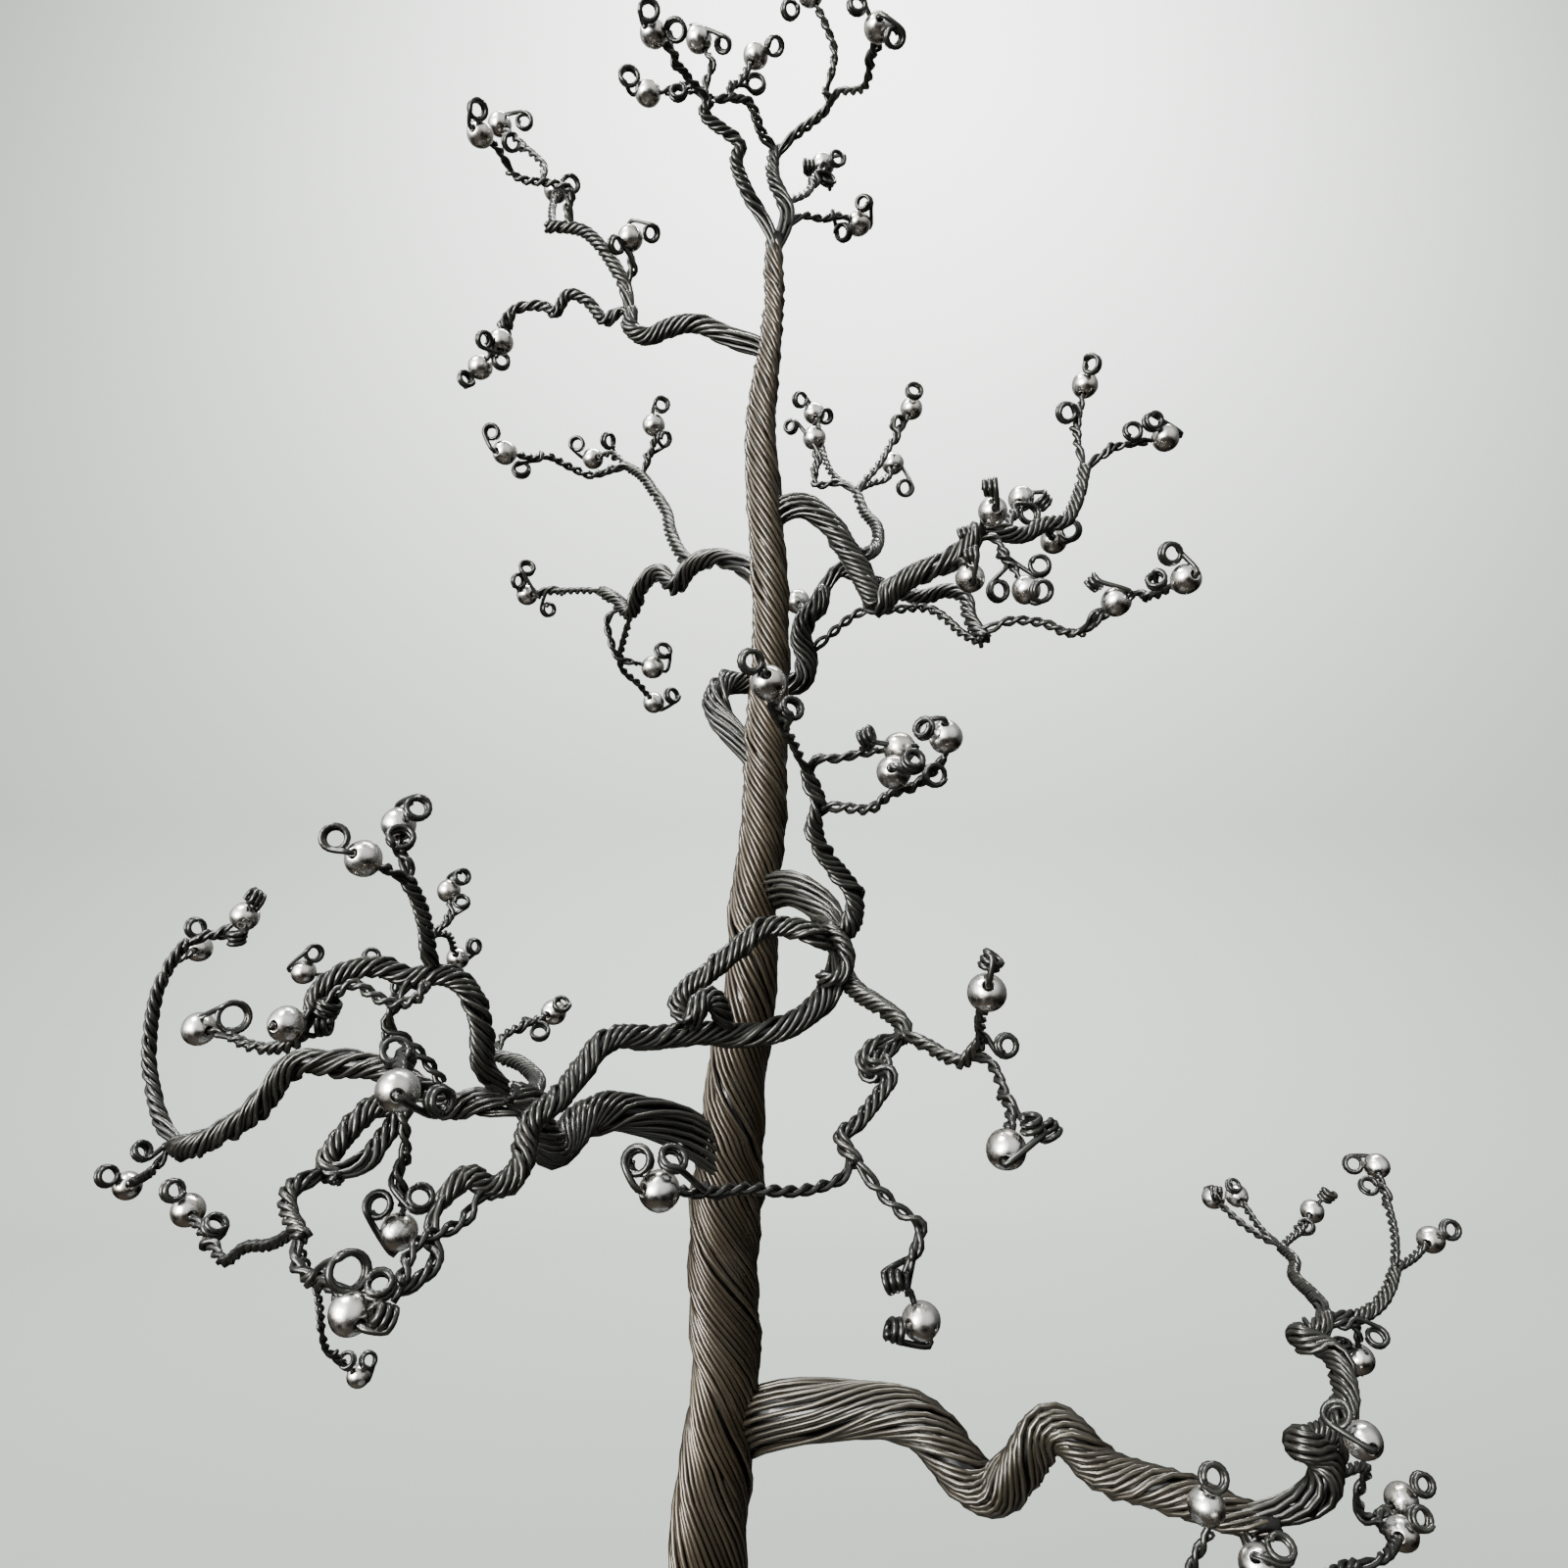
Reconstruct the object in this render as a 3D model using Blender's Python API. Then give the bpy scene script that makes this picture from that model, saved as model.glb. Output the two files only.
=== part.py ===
"""A tree of twisted steel wire with silver beads, on a low round plinth. Metres, +Z up.

The wires are twisted into one rope, the trunk, which divides into limbs, branches and twigs. A twig is a
pair of wires, and one of them goes on through a bead. Each rope is a faceted tube here, as thick as its
wires are together, and a limb is the union of its tubes.

The tree's pose is free form. It is given as it is seen from its front on a sight sheet, a sheet held
square to the line of sight at a short distance before the eye. A bend of a rope is its place across and
up that sheet, in millimetres from the middle, and where it is known its distance behind the trunk's
upright plane. A bead's distance follows from how large it looks on the sheet.
"""
import math

import bmesh
import bpy
from mathutils import Matrix, Vector

MM = 0.001

# Overall sizes, in millimetres
TREE_RISE = 419.0
PLINTH_DIAMETER = 150.0
PLINTH_HEIGHT = 16.0
PLINTH_ROUNDING = 2.5

# Wire, beads and the gaps between pieces
WIRE_DIAMETER = 1.1
TWIG_THICKNESS = 2 * WIRE_DIAMETER
BEAD_DIAMETER = 6.0
BORE_CLEARANCE = 0.35
BORE_DIAMETER = WIRE_DIAMETER + 2 * BORE_CLEARANCE
BEAD_LEAD = 0.9
WIRE_PAST_BEAD = 1.6
TWIG_LEAN = 1.2
TWIG_LEAN_ALWAYS = 7.0
GAP = 0.3

# A bead that looks smaller than this on the sheet is too far back for a solid of its own
SMALLEST_BEAD_SEEN = 5.2

# Roots, spread over the plinth
ROOT_COUNT = 8
ROOT_SPREAD = 54.0
ROOT_THICKNESS = 5.4
ROOT_TIP_THICKNESS = 2.6
ROOT_RISE = 40.0
ROOT_TURN = math.radians(24)
FOOT_THICKNESS = 17.0

# The sight sheet: the sketch of the pose is drawn at SKETCH_RISE and scaled to TREE_RISE
SKETCH_RISE = 419.0
SKETCH_BEAD = 6.0
SHEET_DISTANCE = 240.0
EYE_DISTANCE = 252.0
EYE_RISE = 200.0
EYE_ACROSS = 15.0
LOOK_UP = math.radians(8)

# Sides of the faceted tubes and beads
TRUNK_SIDES = 8
ROPE_SIDES = 5
TWIG_SIDES = 3
BEAD_SIDES = 6
PLINTH_SIDES = 32

# The trunk as it is seen, from below upwards: across, up, thickness
TRUNK_SEEN = [
    (-15.6, -158, 15.2), (-14.6, -146, 14.8), (-13, -130, 13.8), (-11.8, -120, 13.6),
    (-12.4, -99, 14.2), (-11.6, -85, 14.6), (-10.6, -71, 13.4), (-9.4, -57, 12.0),
    (-6.6, -39.6, 11.0), (-6.2, -23.6, 10.0), (-4.4, -11, 9.8), (-3.8, 1.8, 9.6),
    (-3.6, 11.4, 9.2), (-2.8, 27.4, 8.2), (-2.8, 40, 8.2), (-4.0, 56, 8.0), (-4.8, 72, 7.2),
    (-3.4, 86, 6.0), (-2, 98.8, 5.0), (-2.2, 107, 5.2), (-1.8, 112, 5.6),
]

# Each limb: the ropes it is made of, each with the rope it leaves, its thickness at its start and its end,
# and its bends on the sheet. A third number at a bend is its distance behind the trunk's plane.
LIMBS = {
    "crown": [
        ("crown_left", "trunk", 3.6, 2.8, [
            (-3.4, 115), (-6.8, 119.4), (-9.8, 127.4), (-8.8, 130.6), (-12.4, 133.4), (-16.4, 137),
            (-15, 139.8, -10)]),
        ("crown_right", "trunk", 4.2, 3.2, [
            (0.8, 114.4), (0.2, 118.4), (-2, 123.2), (-2.2, 128.2), (-0.6, 130, 4)]),
        ("crown_bridge", "crown_right", 2.6, 2.4, [
            (-4.4, 132.6), (-6.4, 138), (-8, 139.8), (-13, 139.6, -8)]),
        ("crown_fork", "crown_right", 2.6, 2.4, [
            (3.4, 133.4), (8, 137), (9.4, 139.8), (8, 141.8, -8)]),
    ],
    "upper_left_limb": [
        ("upper_left_stem", "trunk", 4.8, 4.2, [
            (-7.4, 89.8), (-11.4, 91.4), (-18, 94), (-23.2, 93.2), (-28.2, 91.2), (-31.4, 93.2),
            (-31, 97.2, 6)]),
        ("upper_left_rise", "upper_left_stem", 3.6, 3.0, [
            (-32.4, 101.4), (-36.4, 108.4), (-40.8, 112.8), (-44.4, 113.6), (-48.6, 113.6, 10)]),
        ("upper_left_tip", "upper_left_rise", 2.6, 2.2, [
            (-44.2, 116.6), (-43.6, 121.2), (-47.4, 122.6), (-53.4, 123.4), (-56.4, 125.2, 4)]),
        ("upper_left_drop", "upper_left_stem", 3.2, 2.6, [
            (-33.4, 97.2), (-36.4, 94.4), (-39.8, 98.2), (-44, 100), (-46.8, 96), (-48.4, 97.2),
            (-52.4, 97.6), (-55.6, 96.2), (-56.4, 93, 12)]),
    ],
    "left_limb": [
        ("left_stem", "trunk", 4.8, 3.8, [
            (-8, 44.6), (-13.8, 46.2), (-19, 44.2), (-22.2, 40.2), (-25.6, 43.2), (-29.6, 39.6),
            (-31.2, 34.8), (-34.2, 37.4), (-37.4, 39.4, 44)]),
        ("left_rise", "left_stem", 3.4, 2.8, [
            (-23, 50.8), (-24, 55.4), (-26.6, 59.6), (-29.2, 63), (-32.2, 64.8, 52)]),
        ("left_rise_tip", "left_rise", 2.6, 2.2, [
            (-35.4, 64.2), (-39.4, 63), (-43.4, 64.6), (-48, 67, 34)]),
    ],
    "right_limb": [
        ("right_stem", "trunk", 5.4, 5.0, [
            (0.2, 57), (4.6, 56.6), (9.4, 53), (13.6, 46.6), (17, 40.4), (19.4, 36, -4), (22.4, 40),
            (27.8, 43.2), (34.8, 46), (38.2, 49.4), (39.8, 53, -14)]),
        ("right_reach", "right_stem", 4.0, 3.0, [
            (43.2, 51.8), (48.8, 50.8), (53, 53), (57.2, 53.6), (60, 58.6), (61.4, 65, -6)]),
        ("right_rise", "right_stem", 3.4, 2.6, [
            (18.6, 48), (19, 52.2), (16.4, 55.4), (14.6, 60, 26)]),
    ],
    "far_right_limb": [
        ("behind_stem", "trunk", 6.0, 4.8, [
            (-9, 9.6), (-12.8, 13.2), (-14.2, 17, 8), (-12, 20.6, 12), (-8, 20.6, 15), (-1, 20.4, 15),
            (3.6, 21), (4.8, 25), (3.4, 30), (4.2, 33.6), (7, 36.4), (8.4, 40.2, 12)]),
        ("behind_reach", "behind_stem", 3.8, 3.4, [
            (10.6, 44, 12), (14.4, 43, 13), (22, 39.6, 12), (28.4, 38.2), (33.4, 39.4), (37, 38.2),
            (37.8, 34), (41, 29.4, -10)]),
        ("behind_second", "behind_stem", 2.4, 2.3, [
            (8, 29.2, 12), (11.6, 32.4), (15.6, 35, 8), (22.8, 35.6, 8), (29.2, 35.8), (32.6, 34),
            (36.2, 30.8), (40.4, 28.6, -9)]),
        ("far_reach", "behind_reach", 2.4, 2.2, [
            (43.6, 32.4), (47.4, 33.4), (53.6, 32.6), (57.8, 30.8), (61.4, 31, -20)]),
    ],
    "front_limb": [
        ("front_stem", "trunk", 6.6, 5.6, [
            (-1, -19.2), (1.8, -19.4), (6.6, -22.4), (10, -28, -14), (10.2, -32.4, -18)]),
        ("front_rise", "front_stem", 4.2, 3.0, [
            (13, -30.6, -21), (14.4, -26.8), (14.4, -23), (11.6, -18.4), (7.4, -13.2), (6.2, -8),
            (7.2, -4.2), (6, -0.6), (4.2, 3, -34)]),
        ("front_rise_twig", "front_rise", 2.4, 2.2, [
            (12, -4.8), (18, -5), (21.6, -2), (26.4, -0.6), (30.8, 3, -44)]),
        ("front_left_stem", "front_stem", 5.0, 3.8, [
            (11.2, -37.2, -20), (9.2, -42), (4.6, -47.2, -26), (-1.8, -50.4), (-9.4, -51.2, -30),
            (-14.4, -50.8), (-19.6, -51), (-27.2, -51.8), (-33.6, -51.4), (-37.4, -53.4),
            (-41.6, -58.4), (-46.6, -65), (-50.6, -67.4, -56), (-52.6, -71.4), (-53, -76.8),
            (-56.2, -81), (-60.4, -82.4), (-64, -79.8), (-67, -81.8), (-70.2, -85.8, -66)]),
        ("front_left_tail", "front_left_stem", 2.8, 2.4, [
            (-72.2, -90.4), (-71.8, -94.2), (-71, -97.4), (-75.4, -101.6), (-80.4, -105, -80)]),
        ("front_left_second", "front_left_stem", 2.4, 2.3, [
            (-63.6, -85.4), (-64.8, -88.6), (-69.6, -91.4), (-74, -92.6), (-76.8, -97),
            (-78.2, -102.6, -79)]),
        ("front_left_loop", "front_left_stem", 4.4, 4.0, [
            (7.4, -31.6, -24), (1.4, -29, -24), (-4.2, -29.6, -25), (-9.4, -33.4), (-14.4, -37.8),
            (-20, -42), (-21.4, -46), (-18.4, -49.4, -32)]),
        ("front_right_stem", "front_stem", 4.2, 3.6, [
            (12.6, -39.6, -21), (15.6, -42.8), (20.6, -46), (24.2, -49.2), (24, -52.6, -36)]),
        ("front_right_arm", "front_right_stem", 2.8, 2.6, [
            (27.4, -52.6), (32, -55), (36.4, -56.8), (38.8, -54.4), (40.6, -52.4, -52)]),
        ("front_right_drop", "front_right_stem", 3.0, 2.8, [
            (20.8, -55, -40), (17.6, -57), (21.8, -59.2), (19, -64), (14.8, -69.4), (11.6, -71.8),
            (14.8, -77.6, -56)]),
        ("front_right_tail", "front_right_drop", 2.4, 2.2, [
            (19.6, -83), (23.8, -87.2), (27.8, -90), (27.4, -94), (25.8, -97.4, -62)]),
    ],
    "lower_left_limb": [
        ("lower_left_stem", "trunk", 8.6, 6.0, [
            (-19, -70.6), (-28.2, -67.8), (-34, -66.8, -12), (-40.2, -67.8), (-43.6, -71.2),
            (-46.8, -75, -26), (-49.6, -71), (-51.6, -64.8), (-56.4, -62.8, -36)]),
        ("lower_left_arch", "lower_left_stem", 4.6, 3.4, [
            (-61.2, -59.4), (-61.6, -52.2), (-62.8, -44.8), (-66, -40.4), (-71.6, -38.8),
            (-76.6, -39.4), (-81.8, -37.6), (-86.8, -37.4), (-92.4, -40), (-96.2, -43.8),
            (-96.6, -47, -48)]),
        ("lower_left_arch_end", "lower_left_arch", 2.8, 2.2, [
            (-99.6, -52.6), (-104.8, -54), (-109.2, -53.4), (-113.4, -51.2, -40)]),
        ("lower_left_mast", "lower_left_arch", 3.0, 2.8, [
            (-72.8, -32), (-74, -25.6), (-77, -19.2, -52)]),
        ("lower_left_arm", "lower_left_stem", 5.2, 4.6, [
            (-63.8, -64.8), (-67.8, -66), (-74, -62.4), (-83, -58), (-91.4, -57.2), (-99, -56.8),
            (-102, -59.4), (-107.2, -66), (-113.6, -70.6), (-120, -73.8, -18), (-125, -74, -10)]),
        ("lower_left_far", "lower_left_arm", 3.4, 2.6, [
            (-128, -66, -6), (-129.6, -54, -2), (-127, -40), (-121.6, -31.8, 0)]),
        ("lower_left_cross", "lower_left_arch", 2.4, 2.3, [
            (-79.6, -45.6, -46), (-81, -49), (-76.6, -52.8), (-72.8, -56.6), (-69.8, -61, -42)]),
        ("lower_left_fork", "lower_left_arm", 4.4, 3.6, [
            (-77, -66.4, -52), (-83, -69.6), (-88.6, -74), (-92.6, -78), (-91, -80.6, -64)]),
        ("lower_left_fork_end", "lower_left_fork", 3.2, 2.8, [
            (-96.2, -80.4), (-101, -83), (-101, -87.6), (-98, -93, -74)]),
    ],
    "lower_left_back_limb": [
        ("lower_left_back", "lower_left_stem", 3.4, 2.6, [
            (-50.4, -60.4, -17), (-54, -57, -6), (-61.2, -54, 6), (-62.4, -46, 18), (-65.6, -40.8, 30), (-71.6, -39, 36),
            (-79.4, -39, 40), (-87, -37.8, 42)]),
        ("lower_left_hanger", "lower_left_back", 2.4, 2.3, [
            (-79.8, -45.6, 40), (-81.4, -52), (-83, -66), (-88, -72), (-92.6, -77.4), (-96.4, -80.6),
            (-101, -84), (-100.4, -88.6), (-98.6, -95), (-95.2, -104, 50), (-94.4, -111.4, 52)]),
    ],
    "lower_right_limb": [
        ("lower_right_stem", "trunk", 11.0, 6.4, [
            (-2, -128.2), (6, -128), (14, -127.8), (23.2, -128.4), (30.2, -132.8), (35.8, -140.2),
            (40.8, -145.4), (45.8, -143), (49.8, -134.6), (55, -129.6), (60.4, -134.4),
            (65.6, -139.4), (75, -142.8), (86, -147), (95.4, -150.4), (101.4, -151.4, -40)]),
        ("lower_right_end", "lower_right_stem", 4.2, 3.2, [
            (96, -156, -42), (100, -161, -44), (108, -163, -44), (117, -159.4, -40)]),
    ],
    "lower_right_rise_limb": [
        ("lower_right_rise", "lower_right_stem", 6.0, 4.4, [
            (107.2, -147.2), (110.8, -141.6), (110, -137, -40), (105.8, -135, -41), (106, -134.2, -33),
            (110.4, -132.6, -30), (114.6, -127), (113.6, -119.4), (111.2, -115.4, -14),
            (105.6, -113.2, -12), (105.8, -112, -5), (109.8, -110.8, -2), (110.8, -107.6, 0)]),
        ("lower_right_tip", "lower_right_rise", 3.2, 2.6, [
            (107.6, -104), (104, -100.2), (104.2, -97.4), (101.2, -94.4, 50)]),
        ("lower_right_far", "lower_right_rise", 3.6, 2.8, [
            (114.6, -109, 2), (119, -108), (123, -104, 6), (124.6, -99, 10)]),
    ],
}

# Each twig: the rope it leaves, its bends, and the place and seen diameter of its bead
TWIGS = {
    "crown": [
        ("crown_left", [(-18, 142.6), (-21.4, 146.6), (-22.6, 149.4)], (-26.6, 153.2, 5.8)),
        ("crown_left", [(-19.6, 142.4), (-24.6, 141.2)], (-27.8, 141, 5.4)),
        ("crown_left", [(-16, 143), (-14.6, 147)], (-17.4, 152, 5.4)),
        ("crown_bridge", [(-11.4, 141.4), (-9, 143.6)], (-5.8, 148.6, 5.2)),
        ("crown_fork", [(9.2, 143.6), (10.2, 149.8), (8.4, 155)], (5.4, 161.4, 5.4)),
        ("crown_fork", [(11, 141.2), (16.4, 142.2), (17.8, 147.2)], (19.2, 154.4, 6.0)),
        ("crown_right", [(4.8, 120.8), (5.8, 122.6)], (8, 126.4, 4.8)),
        ("crown_right", [(4.4, 116), (8, 115.4), (11.4, 116)], (15.2, 114.4, 5.0)),
    ],
    "upper_left_limb": [
        ("upper_left_tip", [(-57, 127.4), (-58.6, 130)], (-62, 132.6, 5.4)),
        ("upper_left_tip", [(-49, 126), (-53, 130)], (-58, 134.6, 4.8)),
        ("upper_left_rise", [(-47.4, 116.6)], (-46.6, 121, 4.4)),
        ("upper_left_rise", [(-31.8, 103.4), (-31.2, 106)], (-31.4, 111.4, 5.2)),
        ("upper_left_drop", [(-57.6, 95)], (-57.8, 90.2, 5.2)),
        ("upper_left_drop", [(-57.6, 90.6)], (-62, 85, 5.0)),
    ],
    "left_limb": [
        ("left_stem", [(-42.4, 39.4), (-47, 39.2)], (-52.4, 38.6, 4.2)),
        ("left_stem", [(-36, 33.6), (-35.4, 29.4), (-33.8, 25.8)], (-26.8, 23.8, 4.7)),
        ("left_stem", [(-33.2, 24), (-29.6, 20.4)], (-26.6, 16.6, 4.4)),
        ("left_rise", [(-27.6, 66.4), (-26.4, 69.6)], (-26.6, 73.2, 4.6)),
        ("left_rise_tip", [(-51, 66.6)], (-57, 67.6, 5.0)),
        ("left_rise", [(-35, 67.4)], (-39, 66.4, 4.2)),
    ],
    "right_limb": [
        ("right_reach", [(59.8, 69.8), (60, 74.8)], (61.4, 81.4, 5.4)),
        ("right_reach", [(64.4, 67), (69.2, 69.2), (73, 69.8)], (77.8, 70.6, 5.6)),
        ("right_stem", [(40.4, 53.4)], (42.6, 55.6, 6.4)),
        ("right_reach", [(46, 54)], (48.4, 58.2, 4.8)),
        ("right_reach", [(54, 52)], (55, 49.6, 5.4)),
        ("right_stem", [(43.4, 49.8), (45, 46), (47, 44)], (49.4, 39.6, 6.0)),
        ("right_stem", [(36.4, 45)], (38, 42, 6.4)),
        ("right_rise", [(10.8, 61.4), (6.4, 61), (6.6, 65)], (6.2, 70.6, 4.8)),
        ("right_rise", [(10.4, 62.6), (8.4, 66)], (6.2, 75.6, 4.4)),
        ("right_rise", [(19.2, 65), (22, 69.8)], (26, 76.6, 4.6)),
        ("right_rise", [(17.8, 61.4), (21, 62.4)], (22.2, 65.4, 4.6)),
    ],
    "far_right_limb": [
        ("far_reach", [(63.4, 34.6)], (67.8, 37.2, 6.2)),
        ("far_reach", [(64, 33.4, -17), (71.2, 38.6, -19), (75.4, 38.4)], (82, 41.8, 6.4)),
        ("behind_stem", [(4, 35)], (2.8, 37.2, 4.2)),
    ],
    "front_limb": [
        ("front_rise_twig", [(33.2, 5.4)], (33, 9.6, 7.0)),
        ("front_rise", [(6.4, 5), (11, 5.2), (16.2, 6.4)], (23.6, 7.2, 6.8)),
        ("front_rise_twig", [(23.6, -0.4)], (22.4, 2.4, 7.4)),
        ("front_rise", [(2, 8.2), (-1.6, 14.2)], (-3.2, 20.6, 8.0)),
        ("front_right_arm", [(40, -49)], (41.4, -42.6, 8.2)),
        ("front_right_arm", [(42.4, -57.4), (45, -63.4), (46.2, -67.4)], (45.4, -74.6, 8.4)),
        ("front_right_drop", [(12, -80.4), (3.4, -83), (-9.2, -82.6), (-16.2, -83.4)], (-25.4, -83, 8.6)),
        ("front_right_tail", [(24.6, -101)], (28, -109.6, 8.0)),
    ],
    "lower_left_limb": [
        ("lower_left_arch", [(-98.6, -48.6)], (-101.6, -49, 7.4)),
        ("lower_left_arch_end", [], (-119.4, -50, 6.8)),
        ("lower_left_mast", [(-77.6, -15)], (-78.6, -8.2, 7.0)),
        ("lower_left_mast", [(-80.4, -17.6)], (-85.8, -15.2, 7.6)),
        ("lower_left_arm", [(-76, -56, -48), (-78, -55, -64)], (-78.8, -62.6, 9.2)),
        ("lower_left_far", [(-115.8, -30.8)], (-110, -27, 5.8)),
        ("lower_left_far", [(-124.4, -36, 4)], (-119.4, -33.6, 4.8)),
        ("lower_left_arm", [(-128, -78, -14)], (-134, -82, 5.6)),
        ("lower_left_fork_end", [(-104.8, -94), (-110, -94.6), (-114.2, -97.4), (-117, -94)],
         (-121.6, -87, 6.6)),
        ("lower_left_fork_end", [(-100, -97), (-97.6, -100.4), (-94.4, -100.6)], (-88.4, -108, 9.2)),
        ("lower_left_arm", [(-77.8, -67, -56), (-77.2, -74.2), (-78.6, -79), (-77.4, -85)],
         (-78.6, -91.4, 7.6)),
    ],
    "lower_left_back_limb": [
        ("lower_left_hanger", [(-93.2, -115.6), (-90.6, -117.6)], (-86.8, -120.8, 4.8)),
        ("lower_left_back", [(-72.8, -34), (-71, -30), (-68, -27.4)], (-68.4, -21.8, 4.8)),
        ("lower_left_back", [(-72, -31.4, 42), (-68.6, -30.8)], (-66.6, -35.6, 4.6)),
        ("lower_left_back", [(-92.6, -39.2)], (-98, -38.4, 5.0)),
        ("lower_left_back", [(-58.6, -54), (-57.4, -51.6), (-54.6, -49.8)], (-47, -46.6, 4.8)),
    ],
    "lower_right_limb": [
        ("lower_right_end", [(96, -167, -46), (87, -169), (82, -164.4), (84, -158), (87, -153.8)],
         (86.2, -147.4, 7.6)),
        ("lower_right_end", [(99, -166)], (96.8, -159.4, 8.0)),
        ("lower_right_end", [(122, -158, -38)], (126, -153, 6.8)),
    ],
    "lower_right_rise_limb": [
        ("lower_right_tip", [(96.4, -91.8), (92, -88.6)], (87.6, -84.4, 4.6)),
        ("lower_right_tip", [(97.6, -91.2)], (92.4, -84, 4.2)),
        ("lower_right_tip", [(103, -93), (105.4, -91)], (107.8, -87.2, 4.4)),
        ("lower_right_rise", [(117, -111)], (117.4, -117.4, 6.0)),
        ("lower_right_far", [(124.6, -92)], (121, -78, 4.8)),
        ("lower_right_far", [(128, -97)], (132, -93, 5.4)),
        ("lower_right_rise", [(114, -137, -40), (114.6, -130.6, -44)], (118.2, -134, 7.6)),
        ("lower_right_rise", [(119, -140, -26), (117, -146), (120, -150)], (126, -146, 6.6)),
    ],
}

# The rope whose solid each limb is cut by where it leaves it
PARTED_FROM = {
    "crown": "trunk",
    "upper_left_limb": "trunk",
    "left_limb": "trunk",
    "right_limb": "trunk",
    "far_right_limb": "trunk",
    "front_limb": "trunk",
    "lower_left_limb": "trunk",
    "lower_left_back_limb": "lower_left_stem",
    "lower_right_limb": "trunk",
    "lower_right_rise_limb": "lower_right_stem",
}


def clear_scene():
    """Remove whatever the scene holds."""
    for thing in list(bpy.data.objects):
        bpy.data.objects.remove(thing, do_unlink=True)


def material(name, colour, metallic, roughness):
    """A plain surface of one colour."""
    finish = bpy.data.materials.new(name)
    finish.use_nodes = True
    shader = finish.node_tree.nodes["Principled BSDF"]
    shader.inputs["Base Color"].default_value = (*colour, 1)
    shader.inputs["Metallic"].default_value = metallic
    shader.inputs["Roughness"].default_value = roughness
    return finish


def sight_line(across, up):
    """Direction from the eye through a place on the sheet, as long as the sheet is far away."""
    return Matrix.Rotation(LOOK_UP, 3, "X") @ Vector((across, SHEET_DISTANCE, up))


def place(across, up, behind):
    """The point, in millimetres, that is seen at a place on the sheet and lies that far behind the trunk."""
    line = sight_line(across, up)
    seen = Vector((EYE_ACROSS, -EYE_DISTANCE, EYE_RISE)) + line * ((EYE_DISTANCE + behind) / line.y)
    return seen * (TREE_RISE / SKETCH_RISE) + Vector((0, 0, PLINTH_HEIGHT))


def distance_behind(across, up, seen_diameter):
    """How far behind the trunk's plane a bead is that looks so large."""
    return sight_line(across, up).y * SKETCH_BEAD / seen_diameter - EYE_DISTANCE


def fill_distances(bends):
    """Bends as (across, up, behind): what isn't given follows the length along the sheet."""
    along = [0.0]
    for before, after in zip(bends, bends[1:]):
        along.append(along[-1] + math.dist(before[:2], after[:2]))
    known = [k for k, bend in enumerate(bends) if len(bend) == 3]
    filled = []
    for k, bend in enumerate(bends):
        low = max(j for j in known if j <= k)
        high = min(j for j in known if j >= k)
        share = (along[k] - along[low]) / (along[high] - along[low]) if high > low else 0.0
        behind = bends[low][2] + share * (bends[high][2] - bends[low][2])
        filled.append((bend[0], bend[1], behind))
    return filled


def nearest_on(bends, target):
    """The place on a rope's seen route that is nearest to a place on the sheet."""
    best = None
    for start, end in zip(bends, bends[1:]):
        a = Vector(start[:2])
        run = Vector(end[:2]) - a
        share = min(1.0, max(0.0, (Vector(target[:2]) - a).dot(run) / run.length_squared))
        spot = a + run * share
        miss = (Vector(target[:2]) - spot).length
        if best is None or miss < best[0]:
            best = (miss, (spot.x, spot.y, start[2] + share * (end[2] - start[2])))
    return best[1]


def trace_ropes():
    """Every rope's bends with their distances, from the trunk outwards."""
    traced = {"trunk": [(across, up, 0.0) for across, up, _ in TRUNK_SEEN]}
    for ropes in LIMBS.values():
        for name, parent, _, _, bends in ropes:
            traced[name] = fill_distances([nearest_on(traced[parent], bends[0])] + bends)
    return traced


def frames_along(points):
    """Two directions square to the path at each point, carried along it without twist."""
    runs = [(b - a).normalized() for a, b in zip(points, points[1:])]
    ways = [runs[0]] + [(a + b).normalized() for a, b in zip(runs, runs[1:])] + [runs[-1]]
    side = ways[0].orthogonal().normalized()
    frames = []
    for way in ways:
        side = (side - way * side.dot(way)).normalized()
        frames.append((side, way.cross(side)))
    return frames


def add_tube(bm, points, thicknesses, sides):
    """A closed tube of the given thickness at each point, in millimetres."""
    rings = []
    for point, thickness, (side, up) in zip(points, thicknesses, frames_along(points)):
        ring = []
        for k in range(sides):
            turn = math.tau * k / sides
            offset = (side * math.cos(turn) + up * math.sin(turn)) * thickness / 2
            ring.append(bm.verts.new((point + offset) * MM))
        rings.append(ring)
    for low, high in zip(rings, rings[1:]):
        for k in range(sides):
            bm.faces.new((low[k], low[k - sides + 1], high[k - sides + 1], high[k]))
    bm.faces.new(rings[0][::-1])
    bm.faces.new(rings[-1])


def tube_mesh(name, tubes):
    """One mesh that holds several closed tubes."""
    bm = bmesh.new()
    for points, thicknesses, sides in tubes:
        add_tube(bm, points, thicknesses, sides)
    mesh = bpy.data.meshes.new(name)
    bm.to_mesh(mesh)
    bm.free()
    return mesh


def add_object(name, mesh, finish=None):
    """A new object in the scene."""
    thing = bpy.data.objects.new(name, mesh)
    bpy.context.scene.collection.objects.link(thing)
    if finish:
        mesh.materials.append(finish)
    return thing


def add_guide(name, mesh):
    """A helper that shapes others and is no piece of the object."""
    guide = add_object(name, mesh)
    guide.hide_render = True
    guide.display_type = "WIRE"
    return guide


def add_boolean(thing, operation, other):
    """Join another solid to this one, or cut it away."""
    modifier = thing.modifiers.new(f"{operation.lower()} {other.name}", "BOOLEAN")
    modifier.operation = operation
    modifier.solver = "EXACT"
    modifier.use_self = operation == "UNION"
    modifier.object = other


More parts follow.
